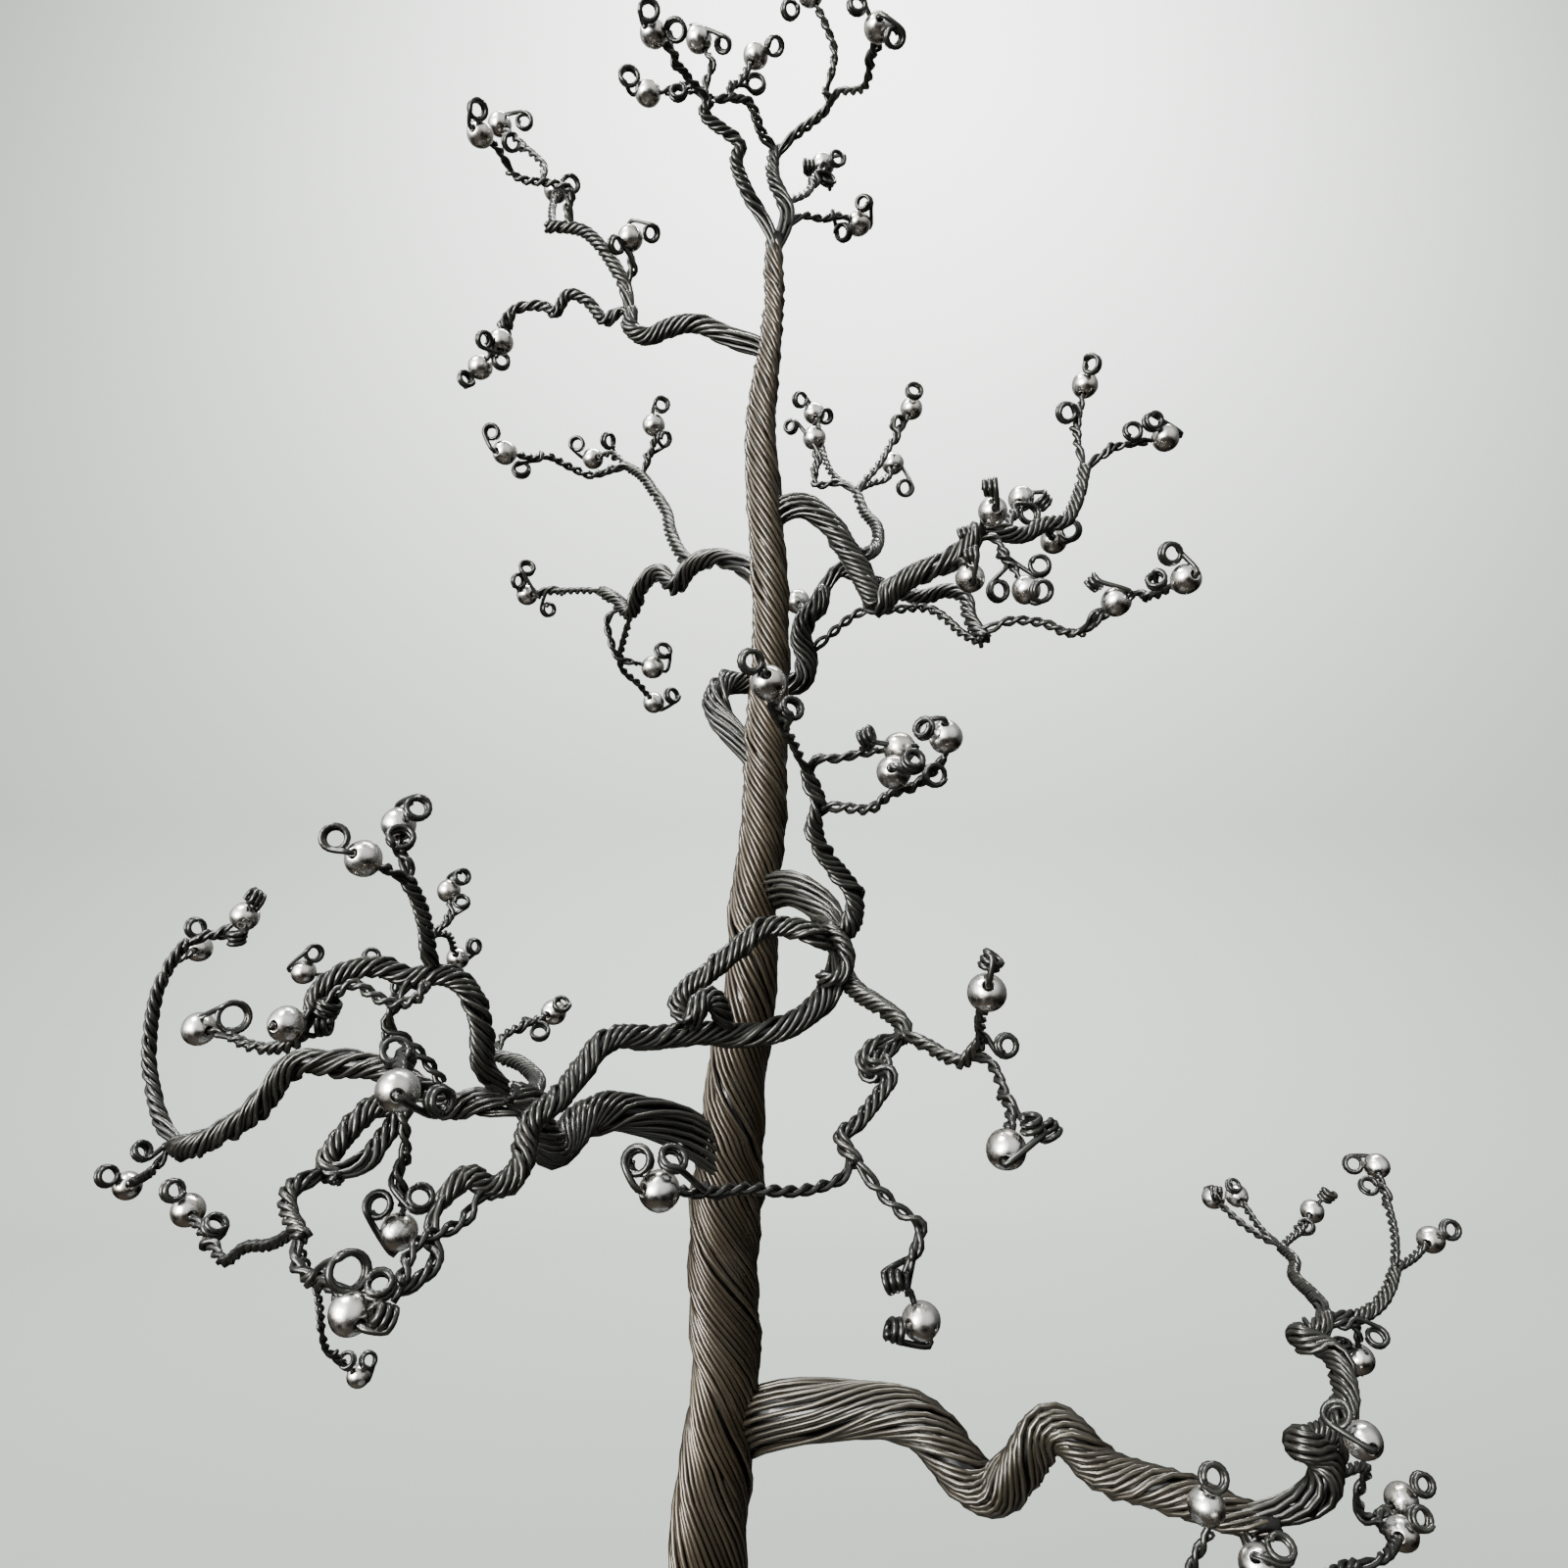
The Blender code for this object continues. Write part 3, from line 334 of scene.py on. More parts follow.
# Each twig: the rope it leaves, its bends, its bead's place and seen diameter, and its loops. A loop is its
# place, how far its coil is turned from facing the eye, and which way it is turned, both in degrees, and
# how much larger it is than most, where it is.
TWIGS = {
    "crown": [
        ("crown_left", [(-18, 142.6), (-21.4, 146.6), (-22.6, 149.4)], (-26.6, 153.2, 5.8),
         [(-27.6, 157.8, 35, 90), (-22, 153.8, 35, 160)]),
        ("crown_left", [(-19.6, 142.4), (-24.6, 141.2)], (-27.8, 141, 5.4),
         [(-31.6, 144.4, 45, 90), (-21.6, 141.2, 60, 90)]),
        ("crown_left", [(-16, 143), (-14.6, 147)], (-17.4, 152, 5.4), [(-12.4, 151, 35, 200)]),
        ("crown_bridge", [(-11.4, 141.4), (-9, 143.6)], (-5.8, 148.6, 5.2),
         [(-2, 150.6, 40, 0), (-5.8, 143, 55, 90)]),
        ("crown_fork", [(9.2, 143.6), (10.2, 149.8), (8.4, 155)], (5.4, 161.4, 5.4), [(1.4, 158, 40, 20)]),
        ("crown_fork", [(11, 141.2), (16.4, 142.2), (17.8, 147.2)], (19.2, 154.4, 6.0),
         [(22.4, 152.4, 50, 0), (15, 159, 40, 60)]),
        ("crown_right", [(4.8, 120.8), (5.8, 122.6)], (8, 126.4, 4.8),
         [(5.1, 126, 75, 0), (10.8, 127.6, 60, 30), (8.8, 123, 70, 60)]),
        ("crown_right", [(4.4, 116), (8, 115.4), (11.4, 116)], (15.2, 114.4, 5.0),
         [(16.2, 118.6, 40, 150), (12, 112.6, 45, 160)]),
    ],
    "upper_left_limb": [
        ("upper_left_tip", [(-57, 127.4), (-58.6, 130)], (-62, 132.6, 5.4), [(-62.6, 137.6, 40, 30)]),
        ("upper_left_tip", [(-49, 126), (-53, 130)], (-58, 134.6, 4.8),
         [(-53, 135.2, 50, 120), (-55.6, 131, 40, 0)]),
        ("upper_left_rise", [(-47.4, 116.6)], (-46.6, 121, 4.4), [(-43.6, 122.4, 50, 40)]),
        ("upper_left_rise", [(-31.8, 103.4), (-31.2, 106)], (-31.4, 111.4, 5.2),
         [(-27.2, 112.4, 50, 0), (-34.2, 110, 60, 0)]),
        ("upper_left_drop", [(-57.6, 95)], (-57.8, 90.2, 5.2), [(-61.2, 90.6, 50, 0)]),
        ("upper_left_drop", [(-57.6, 90.6)], (-62, 85, 5.0), [(-57.6, 86.4, 40, 60), (-65, 82.6, 60, 40)]),
    ],
    "left_limb": [
        ("left_stem", [(-42.4, 39.4), (-47, 39.2)], (-52.4, 38.6, 4.2),
         [(-54.2, 41.4, 50, 0), (-52.4, 44, 60, 90), (-48, 35.6, 45, 0)]),
        ("left_stem", [(-36, 33.6), (-35.4, 29.4), (-33.8, 25.8)], (-26.8, 23.8, 4.7),
         [(-24.6, 27.2, 45, 60)]),
        ("left_stem", [(-33.2, 24), (-29.6, 20.4)], (-26.6, 16.6, 4.4), [(-22.8, 18, 60, 20)]),
        ("left_rise", [(-27.6, 66.4), (-26.4, 69.6)], (-26.6, 73.2, 4.6),
         [(-25, 77.4, 50, 60), (-24.4, 70.4, 60, 0)]),
        ("left_rise_tip", [(-51, 66.6)], (-57, 67.6, 5.0), [(-59.6, 71.8, 40, 150), (-53.6, 64.2, 55, 90)]),
        ("left_rise", [(-35, 67.4)], (-39, 66.4, 4.2), [(-42.2, 69.4, 40, 150), (-35.8, 70, 60, 0)]),
    ],
    "right_limb": [
        ("right_reach", [(59.8, 69.8), (60, 74.8)], (61.4, 81.4, 5.4),
         [(62.8, 85.6, 60, 150), (57.8, 75.8, 40, 0)]),
        ("right_reach", [(64.4, 67), (69.2, 69.2), (73, 69.8)], (77.8, 70.6, 5.6),
         [(75.4, 74, 60, 30), (71.2, 72, 35, 60)]),
        ("right_stem", [(40.4, 53.4)], (42.6, 55.6, 6.4), [(42, 60.4, 85, 0), (37.4, 51, 80, 15)]),
        ("right_reach", [(46, 54)], (48.4, 58.2, 4.8), [(53, 57.6, 80, 130), (50, 55, 60, 40)]),
        ("right_reach", [(54, 52)], (55, 49.6, 5.4), [(58.4, 51.8, 40, 150)]),
        ("right_stem", [(43.4, 49.8), (45, 46), (47, 44)], (49.4, 39.6, 6.0),
         [(52.6, 39.4, 35, 0), (52.2, 44.6, 30, 60), (43.8, 39.4, 55, 10)]),
        ("right_stem", [(36.4, 45)], (38, 42, 6.4), [(38.2, 46.6, 75, 10)]),
        ("right_rise", [(10.8, 61.4), (6.4, 61), (6.6, 65)], (6.2, 70.6, 4.8),
         [(8.4, 75, 45, 0), (1.4, 73, 45, 150)]),
        ("right_rise", [(10.4, 62.6), (8.4, 66)], (6.2, 75.6, 4.4), [(3.4, 78.4, 50, 0)]),
        ("right_rise", [(19.2, 65), (22, 69.8)], (26, 76.6, 4.6),
         [(26.6, 80.2, 50, 60), (23.2, 73.6, 60, 0)]),
        ("right_rise", [(17.8, 61.4), (21, 62.4)], (22.2, 65.4, 4.6), [(24.6, 60.4, 50, 0)]),
    ],
    "far_right_limb": [
        ("far_reach", [(63.4, 34.6)], (67.8, 37.2, 6.2), [(63.4, 41, 80, 35)]),
        ("far_reach", [(64, 33.4, -17), (71.2, 38.6, -19), (75.4, 38.4)], (82, 41.8, 6.4),
         [(79, 47, 40, 0), (76, 41.6, 60, 90)]),
        ("behind_stem", [(4, 35)], (2.8, 37.2, 4.2), []),
    ],
    "front_limb": [
        ("front_rise_twig", [(33.2, 5.4)], (33, 9.6, 7.0), [(28.6, 11.4, 60, 150), (30.8, 1.8, 35, 0)]),
        ("front_rise", [(6.4, 5), (11, 5.2), (16.2, 6.4)], (23.6, 7.2, 6.8), [(16.8, 9.4, 70, 20)]),
        ("front_rise_twig", [(23.6, -0.4)], (22.4, 2.4, 7.4), [(26.4, 4.8, 50, 60)]),
        ("front_rise", [(2, 8.2), (-1.6, 14.2)], (-3.2, 20.6, 8.0), [(-6.6, 25, 25, 0), (1.6, 15.4, 60, 50)]),
        ("front_right_arm", [(40, -49)], (41.4, -42.6, 8.2), [(42.2, -36.4, 75, 60), (45.4, -53.4, 25, 0)]),
        ("front_right_arm", [(42.4, -57.4), (45, -63.4), (46.2, -67.4)], (45.4, -74.6, 8.4),
         [(50.6, -69.6, 70, 100), (54, -70.4, 75, 115)]),
        ("front_right_drop", [(12, -80.4), (3.4, -83), (-9.2, -82.6), (-16.2, -83.4)], (-25.4, -83, 8.6),
         [(-29.6, -77, 45, 150), (-22.6, -76.6, 60, 60)]),
        ("front_right_tail", [(24.6, -101)], (28, -109.6, 8.0),
         [(22.4, -111.4, 75, 170), (22.8, -101.4, 75, 10)]),
    ],
    "lower_left_limb": [
        ("lower_left_arch", [(-98.6, -48.6)], (-101.6, -49, 7.4),
         [(-94, -49.4, 70, 0), (-93, -45.6, 70, 60)]),
        ("lower_left_arch_end", [], (-119.4, -50, 6.8), [(-112.4, -47.6, 20, 0, 1.35)]),
        ("lower_left_mast", [(-77.6, -15)], (-78.6, -8.2, 7.0), [(-74.8, -5, 45, 60), (-78.2, -11, 60, 90)]),
        ("lower_left_mast", [(-80.4, -17.6)], (-85.8, -15.2, 7.6), [(-91.6, -11, 25, 150)]),
        ("lower_left_arm", [(-76, -56, -48), (-78, -55, -64)], (-78.8, -62.6, 9.2),
         [(-79.2, -54.6, 30, 90), (-70.2, -64.8, 50, 0)]),
        ("lower_left_far", [(-115.8, -30.8)], (-110, -27, 5.8),
         [(-107.8, -23.4, 75, 150), (-111.6, -31.4, 75, 90)]),
        ("lower_left_far", [(-124.4, -36, 4)], (-119.4, -33.6, 4.8), [(-120, -29.4, 40, 0)]),
        ("lower_left_arm", [(-128, -78, -14)], (-134, -82, 5.6), [(-138, -80, 40, 0), (-131, -75, 60, 30)]),
        ("lower_left_fork_end", [(-104.8, -94), (-110, -94.6), (-114.2, -97.4), (-117, -94)],
         (-121.6, -87, 6.6), [(-124.6, -83, 40, 0), (-116, -90, 60, 60)]),
        ("lower_left_fork_end", [(-100, -97), (-97.6, -100.4), (-94.4, -100.6)], (-88.4, -108, 9.2),
         [(-82.4, -102, 55, 100), (-89, -99.6, 35, 0, 1.25), (-82, -108.6, 70, 150)]),
        ("lower_left_arm", [(-77.8, -67, -56), (-77.2, -74.2), (-78.6, -79), (-77.4, -85)],
         (-78.6, -91.4, 7.6), [(-82.6, -86, 35, 150), (-74.2, -84.4, 50, 60)]),
    ],
    "lower_left_back_limb": [
        ("lower_left_hanger", [(-93.2, -115.6), (-90.6, -117.6)], (-86.8, -120.8, 4.8),
         [(-84.8, -117.6, 35, 0), (-89.2, -117.6, 50, 150)]),
        ("lower_left_back", [(-72.8, -34), (-71, -30), (-68, -27.4)], (-68.4, -21.8, 4.8),
         [(-65.8, -19, 50, 30), (-65.8, -24, 60, 90)]),
        ("lower_left_back", [(-72, -31.4, 42), (-68.6, -30.8)], (-66.6, -35.6, 4.6), [(-63.2, -33.2, 50, 0)]),
        ("lower_left_back", [(-92.6, -39.2)], (-98, -38.4, 5.0),
         [(-96, -34.6, 40, 0), (-84.2, -35.2, 30, 60)]),
        ("lower_left_back", [(-58.6, -54), (-57.4, -51.6), (-54.6, -49.8)], (-47, -46.6, 4.8),
         [(-45.4, -45, 50, 60), (-49.8, -50.6, 60, 90)]),
    ],
    "lower_right_limb": [
        ("lower_right_end", [(96, -167, -46), (87, -169), (82, -164.4), (84, -158), (87, -153.8)],
         (86.2, -147.4, 7.6), [(87.6, -141.6, 35, 0)]),
        ("lower_right_end", [(99, -166)], (96.8, -159.4, 8.0), [(101.4, -156, 60, 60)]),
        ("lower_right_end", [(122, -158, -38)], (126, -153, 6.8), [(130, -150, 50, 0)]),
    ],
    "lower_right_rise_limb": [
        ("lower_right_tip", [(96.4, -91.8), (92, -88.6)], (87.6, -84.4, 4.6), [(88.4, -83.6, 75, 0)]),
        ("lower_right_tip", [(97.6, -91.2)], (92.4, -84, 4.2), [(91.8, -82, 60, 40)]),
        ("lower_right_tip", [(103, -93), (105.4, -91)], (107.8, -87.2, 4.4),
         [(110.8, -84, 75, 50), (106.6, -90.2, 45, 90)]),
        ("lower_right_rise", [(117, -111)], (117.4, -117.4, 6.0),
         [(121, -113, 60, 60), (114, -114.6, 70, 90)]),
        ("lower_right_far", [(124.6, -92)], (121, -78, 4.8), [(116.2, -77.6, 15, 0), (119.4, -82, 40, 60)]),
        ("lower_right_far", [(128, -97)], (132, -93, 5.4), [(136, -91, 40, 0)]),
        ("lower_right_rise", [(114, -137, -40), (114.6, -130.6, -44)], (118.2, -134, 7.6),
         [(113, -128.8, 55, 130)]),
        ("lower_right_rise", [(119, -140, -26), (117, -146), (120, -150)], (126, -146, 6.6),
         [(130.4, -143, 40, 0), (123, -150.4, 60, 60)]),
    ],
}


def hex_colour(code):
    """An sRGB hex value as linear red, green and blue."""
    parts = [int(code[k:k + 2], 16) / 255 for k in (1, 3, 5)]
    return tuple(c / 12.92 if c <= 0.04045 else ((c + 0.055) / 1.055) ** 2.4 for c in parts)


def unit(arrows):
    """Arrows at length one."""
    return arrows / np.maximum(np.linalg.norm(arrows, axis=-1, keepdims=True), 1e-9)


def smoothstep(share):
    """From 0 to 1 with level ends: 3 share squared less 2 share cubed."""
    share = np.clip(share, 0, 1)
    return share * share * (3 - 2 * share)


def on_sheet(across, up, behind):
    """Points that are seen at places on the sheet and lie so far behind the trunk's plane.

    The line of sight is (across, sheet distance, up), turned up by LOOK_UP about X. The point is the eye
    plus as much of that line as reaches the upright plane.
    """
    across, up, behind = np.broadcast_arrays(*(np.asarray(part, float) for part in (across, up, behind)))
    deep = SHEET_DISTANCE * math.cos(LOOK_UP) - up * math.sin(LOOK_UP)
    high = SHEET_DISTANCE * math.sin(LOOK_UP) + up * math.cos(LOOK_UP)
    share = (behind - EYE[1]) / deep
    return np.stack([EYE[0] + across * share, EYE[1] + deep * share, EYE[2] + high * share], -1)


def fill_distances(bends):
    """Bends as rows of across, up and behind: what isn't given follows the length along the sheet."""
    seen = np.array([bend[:2] for bend in bends], float)
    along = np.concatenate([[0], np.cumsum(np.linalg.norm(np.diff(seen, axis=0), axis=1))])
    known = [k for k, bend in enumerate(bends) if len(bend) == 3]
    behind = np.interp(along, along[known], [bends[k][2] for k in known])
    return np.column_stack([seen, behind])


def nearest_on(route, target):
    """The place on a seen route (rows of across, up, behind) that is nearest to a place on the sheet."""
    a, run = route[:-1], np.diff(route, axis=0)
    aim = np.asarray(target[:2], float) - a[:, :2]
    share = np.clip(np.sum(aim * run[:, :2], 1) / np.sum(run[:, :2] ** 2, 1), 0, 1)
    spots = a + run * share[:, None]
    return spots[np.argmin(np.linalg.norm(spots[:, :2] - target[:2], axis=1))]


def smooth_line(points, step, soften=0.0):
    """A smooth line through points, sampled at even steps, or at shorter ones where a rope bends sharply.

    Centripetal Catmull-Rom: each span is blended from four points, whose parameters lie apart by the root
    of their distance, so it makes no loops at uneven bends. Softening is a length over which the line is
    then averaged, as a thick rope can't be bent sharply.
    """
    points = np.asarray(points, float)
    far = np.linalg.norm(np.diff(points, axis=0), axis=1) > LEAST_GAP
    points = points[np.concatenate([[True], far])]
    ends = 2 * points[[0, -1]] - points[[1, -2]]
    hull = np.concatenate([ends[:1], points, ends[1:]])
    knot = np.concatenate([[0], np.cumsum(np.sqrt(np.linalg.norm(np.diff(hull, axis=0), axis=1)))])
    p0, p1, p2, p3 = (hull[k:len(hull) - 3 + k, None] for k in range(4))
    t0, t1, t2, t3 = (knot[k:len(knot) - 3 + k, None, None] for k in range(4))
    t = t1 + (t2 - t1) * np.linspace(0, 1, SPAN_SAMPLES, endpoint=False)[None, :, None]
    a1 = p0 + (p1 - p0) * (t - t0) / (t1 - t0)
    a2 = p1 + (p2 - p1) * (t - t1) / (t2 - t1)
    a3 = p2 + (p3 - p2) * (t - t2) / (t3 - t2)
    b1 = a1 + (a2 - a1) * (t - t0) / (t2 - t0)
    b2 = a2 + (a3 - a2) * (t - t1) / (t3 - t1)
    fine = np.concatenate([(b1 + (b2 - b1) * (t - t1) / (t2 - t1)).reshape(-1, 3), points[-1:]])
    along = np.concatenate([[0], np.cumsum(np.linalg.norm(np.diff(fine, axis=0), axis=1))])
    if not soften:
        places = np.linspace(0, along[-1], max(3, round(along[-1] / step) + 1))
        return np.column_stack([np.interp(places, along, fine[:, k]) for k in range(3)])
    even = np.linspace(0, along[-1], max(12, round(along[-1] / EVEN_STEP) + 1))
    gap = even[1]
    line = averaged(np.column_stack([np.interp(even, along, fine[:, k]) for k in range(3)]), soften / gap)
    bend = np.linalg.norm(np.gradient(unit(np.gradient(line, axis=0)), axis=0), axis=1) / gap
    dense = np.clip(bend / SHARPEST_STEP, 1 / step, max(1 / step, 1 / LEAST_STEP))
    dense = averaged(dense[:, None], 2 * step / gap)[:, 0]
    count = np.concatenate([[0], np.cumsum((dense[1:] + dense[:-1]) / 2 * gap)])
    places = np.interp(np.linspace(0, count[-1], max(4, round(count[-1]) + 1)), count, even)
    return np.column_stack([np.interp(places, even, line[:, k]) for k in range(3)])


def averaged(rows, width):
    """Rows averaged with their neighbours over a width, with both ends held where they are."""
    half = min(max(1, round(width / 2)), len(rows) - 1)
    weight = np.hanning(2 * half + 3)[1:-1]
    before = 2 * rows[0] - rows[half:0:-1]
    after = 2 * rows[-1] - rows[-2:-half - 2:-1]
    held = np.concatenate([before, rows, after])
    return np.column_stack([np.convolve(part, weight / weight.sum(), "valid") for part in held.T])


def carried_frames(lines):
    """Ways, sides and ups of lines[..., station, 3]: sides square to the ways, carried on without twist."""
    ways = unit(np.gradient(lines, axis=-2))
    side = np.cross(ways[..., 0, :], np.eye(3)[np.argmin(np.abs(ways[..., 0, :]), axis=-1)])
    sides = np.empty_like(lines)
    for station in range(lines.shape[-2]):
        way = ways[..., station, :]
        side = unit(side - way * np.sum(side * way, -1, keepdims=True))
        sides[..., station, :] = side
    return ways, sides, np.cross(ways, sides)


class Rope:
    """A rope: its middle line at even steps, its thickness, and how far its wires have turned round it.

    The turn is less the running sum of tan(lay) / reach, where reach is from the middle line to a wire's
    middle, so the lay is left-handed. The lay sways slowly, as hand twisting leaves it.
    """

    def __init__(self, points, thickness, wire, lay, sway=0.15, phase=0.0, ease=0.0, step=0.0):
        points = np.asarray(points, float)
        thickness = np.asarray(thickness, float)
        pitch = math.pi * max(float(np.mean(thickness)) - wire, wire) / math.tan(lay)
        wide = float(np.mean(thickness))
        self.line = smooth_line(points, step or min(ROPE_STEP, max(TWIG_STEP, pitch / 10)),
                                0.5 * wide if wide > 2.6 * wire else 0.0)
        self.run = np.concatenate([[0], np.cumsum(np.linalg.norm(np.diff(self.line, axis=0), axis=1))])
        self.ways, self.sides, self.ups = carried_frames(self.line)
        given = np.concatenate([[0], np.cumsum(np.linalg.norm(np.diff(points, axis=0), axis=1))])
        thickness = np.interp(self.run / self.run[-1], given / given[-1],
                              np.interp(np.linspace(0, 1, len(given)), np.linspace(0, 1, len(thickness)),
                                        thickness))
        self.reach = np.maximum((thickness * FULLER - wire) / 2, wire / 2)
        rate = np.tan(lay * (1 + sway * np.sin(self.run / 17 + phase))) / self.reach
        rate = rate * (0.15 + 0.85 * smoothstep(self.run / ease)) if ease else rate
        steps = np.diff(self.run) * (rate[1:] + rate[:-1]) / 2
        self.turn = -np.concatenate([[0], np.cumsum(steps)])
        self.lay = lay
        self.wire = wire

    def at(self, arc, table):
        """A table of the rope's, read at arc lengths."""
        if table.ndim == 1:
            return np.interp(arc, self.run, table)
        return np.stack([np.interp(arc, self.run, column) for column in table.T], -1)

    def nearest(self, point):
        """The arc length where the middle line is nearest to a point."""
        return self.run[np.argmin(np.linalg.norm(self.line - point, axis=1))]

    def wire_at(self, arc, base, lift=0.0):
        """Middles of wires: the middle line, plus (reach + lift) at an angle of base plus the turn."""
        angle = base + self.at(arc, self.turn)
        out = np.cos(angle)[..., None] * self.at(arc, self.sides)
        out = out + np.sin(angle)[..., None] * self.at(arc, self.ups)
        return self.at(arc, self.line) + out * (self.at(arc, self.reach) + lift)[..., None]


class Bundle:
    """Closed round wires that are gathered for one mesh."""

    def __init__(self):
        self.points = []
        self.quads = []
        self.caps = []
        self.shades = []
        self.warmths = []
        self.total = 0

    def add(self, lines, radius, shade, warmth, last=None, sides=WIRE_SIDES):
        """Wires round lines[wire, station]; each ends at its own last station.

        The wall is the line plus radius times (cos of a side + sin of an up), on carried frames.
        """
        lines = lines.reshape(-1, *lines.shape[-2:])
        count, stations = lines.shape[:2]
        last = np.full(count, stations - 1) if last is None else np.asarray(last)
        _, side, up = carried_frames(lines)
        turn = np.arange(sides) * math.tau / sides
        ring = np.cos(turn)[:, None] * side[:, :, None] + np.sin(turn)[:, None] * up[:, :, None]
        wall = lines[:, :, None] + radius * ring
        index = np.arange(count * stations * sides).reshape(count, stations, sides)
        beside = np.roll(index, -1, axis=2)
        quads = np.stack([index[:, :-1], beside[:, :-1], beside[:, 1:], index[:, 1:]], -1)
        quads = quads[np.arange(stations - 1)[None] < last[:, None]].reshape(-1, 4)
        caps = np.concatenate([index[:, 0, ::-1], index[np.arange(count), last]])
        kept = np.repeat((np.arange(stations)[None] <= last[:, None]).ravel(), sides)
        renumber = np.cumsum(kept) - 1 + self.total
        shades = np.broadcast_to(np.reshape(shade, (-1, 1)), (count, stations * sides)).ravel()
        self.points.append(wall.reshape(-1, 3)[kept])
        self.quads.append(renumber[quads])
        self.caps.append(renumber[caps])
        self.shades.append(shades[kept])
        self.warmths.append(np.full(int(kept.sum()), warmth))
        self.total += int(kept.sum())

    def piece(self, name, finish):
        """The gathered wires as one object, with each wire's shade and each rope's warmth."""
        faces = [np.concatenate(self.quads)] + self.caps
        mesh = mesh_of(name, np.concatenate(self.points), faces, smooth=1)
        for label, values in (("wire_shade", self.shades), ("rope_warmth", self.warmths)):
            attribute = mesh.attributes.new(label, "FLOAT", "POINT")
            attribute.data.foreach_set("value", np.concatenate(values).astype(np.float32))
        return add_piece(name, mesh, finish)


def mesh_of(name, points, faces, smooth=0):
    """A mesh of points in millimetres and arrays of faces; the first so many arrays are shaded smooth."""
    mesh = bpy.data.meshes.new(name)
    mesh.vertices.add(len(points))
    mesh.vertices.foreach_set("co", (np.asarray(points) * MM).astype(np.float32).ravel())
    sizes = np.concatenate([np.full(len(part), part.shape[1]) for part in faces])
    soft = np.concatenate([np.full(len(part), k < smooth) for k, part in enumerate(faces)])
    mesh.loops.add(int(sizes.sum()))
    mesh.loops.foreach_set("vertex_index", np.concatenate([part.ravel() for part in faces]).astype(np.int32))
    mesh.polygons.add(len(sizes))
    mesh.polygons.foreach_set("loop_start", (np.cumsum(sizes) - sizes).astype(np.int32))
    mesh.polygons.foreach_set("use_smooth", soft)
    mesh.update(calc_edges=True)
    return mesh


def add_piece(name, mesh, finish):
    """A new object of the tree, riding on its only body."""
    mesh.materials.append(finish)
    thing = bpy.data.objects.new(name, mesh)
    bpy.context.scene.collection.objects.link(thing)
    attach(thing, BODY)
    return thing


def wire_places(rope):
    """How many wires fit round a rope, and each one's weight and angle at each station.

    So many fit as make a ring: pi / asin(wire / (2 reach cos lay)). Where the rope thins, the last ones
    sink in one by one, so a wire's weight falls from 1 to 0, and the others share out the ring.
    """
    ratio = rope.wire / (2 * rope.reach * math.cos(rope.lay))
    fits = np.where(ratio < 0.95, math.pi / np.arcsin(np.minimum(ratio, 0.95)), 2.0)
    count = int(math.ceil(fits.max() - 0.2))
    order = np.argsort(np.argsort(np.arange(count) * 0.618034 % 1))
    weight = np.clip(fits[None] - order[:, None], 0, 1)
    angle = math.tau * (np.cumsum(weight, 0) - weight / 2) / weight.sum(0)
    return weight, angle


def peel(rope, arc, wires, parent, leave, against):
    """Wires that first run with the rope they come from and then turn off along their own.

    On the parent, a wire follows the parent's own lay, sunk at first and then on its surface, the lower
    wires outermost. Over the same share of its way its place in the new rope is worked out as well, and
    the line goes over from one to the other by a smoothstep.
    """
    clear = arc[-1]
    share = arc / clear
    reach = float(parent.at(leave, parent.reach)) + parent.wire / 2
    centre = parent.at(leave, parent.line)
    way, side, up = (parent.at(leave, table) for table in (parent.ways, parent.sides, parent.ups))
    aim = rope.at(clear, rope.line) - centre
    angle = math.atan2(float(aim @ up), float(aim @ side))
    round_it = up * math.cos(angle) - side * math.sin(angle)
    offset = wires[:, -1] - rope.at(clear, rope.line)
    sign = 1 if against else -1
    kept = 0.3 + 0.7 * min(1.0, max(0.0, float(unit(aim) @ way) * -sign))
    stretch = kept * (2.2 * reach + 1.5 * float(rope.reach[0]) + 3)
    on_parent = np.clip(leave + sign * stretch * (1 - share), 0, parent.run[-1])
    low = (offset @ way) * -sign + float(rope.reach[0])
    on_parent = np.clip(on_parent + (offset @ way)[:, None] * (1.4 - 0.4 * share), 0, parent.run[-1])
    depth = reach - 0.5 * rope.wire - 0.35 * low[:, None] - 1.5 * rope.wire * (1 - share) ** 2
    depth = np.maximum(depth, 0.3 * reach)
    turned = parent.at(on_parent, parent.turn) - float(parent.at(leave, parent.turn))
    bearing = angle + 1.2 * (offset @ round_it)[:, None] / reach + turned
    out = np.cos(bearing)[..., None] * parent.at(on_parent, parent.sides)
    out = out + np.sin(bearing)[..., None] * parent.at(on_parent, parent.ups)
    start = parent.at(on_parent, parent.line) + out * depth[..., None]
    blend = smoothstep(share)[:, None]
    return start * (1 - blend) + wires * blend


def fan(rope, arc, wires, parent, leave):
    """Wires spread along the rope that they come from, most where they leave it squarely.

    What a wire's offset has along the parent's way grows by up to FAN_SPREAD, fading over FAN_REACHES
    times the reach and FAN_MORE.
    """
    way = parent.at(leave, parent.ways)
    aim = unit(rope.at(min(FAN_AIM, rope.run[-1]), rope.line) - rope.line[0])
    square = 1 - abs(float(aim @ way)) ** 2
    share = square * (1 - smoothstep(arc / (FAN_REACHES * float(rope.reach[0]) + FAN_MORE)))
    along = (wires - rope.at(arc, rope.line)) @ way
    return wires + (FAN_SPREAD * share * along)[..., None] * way


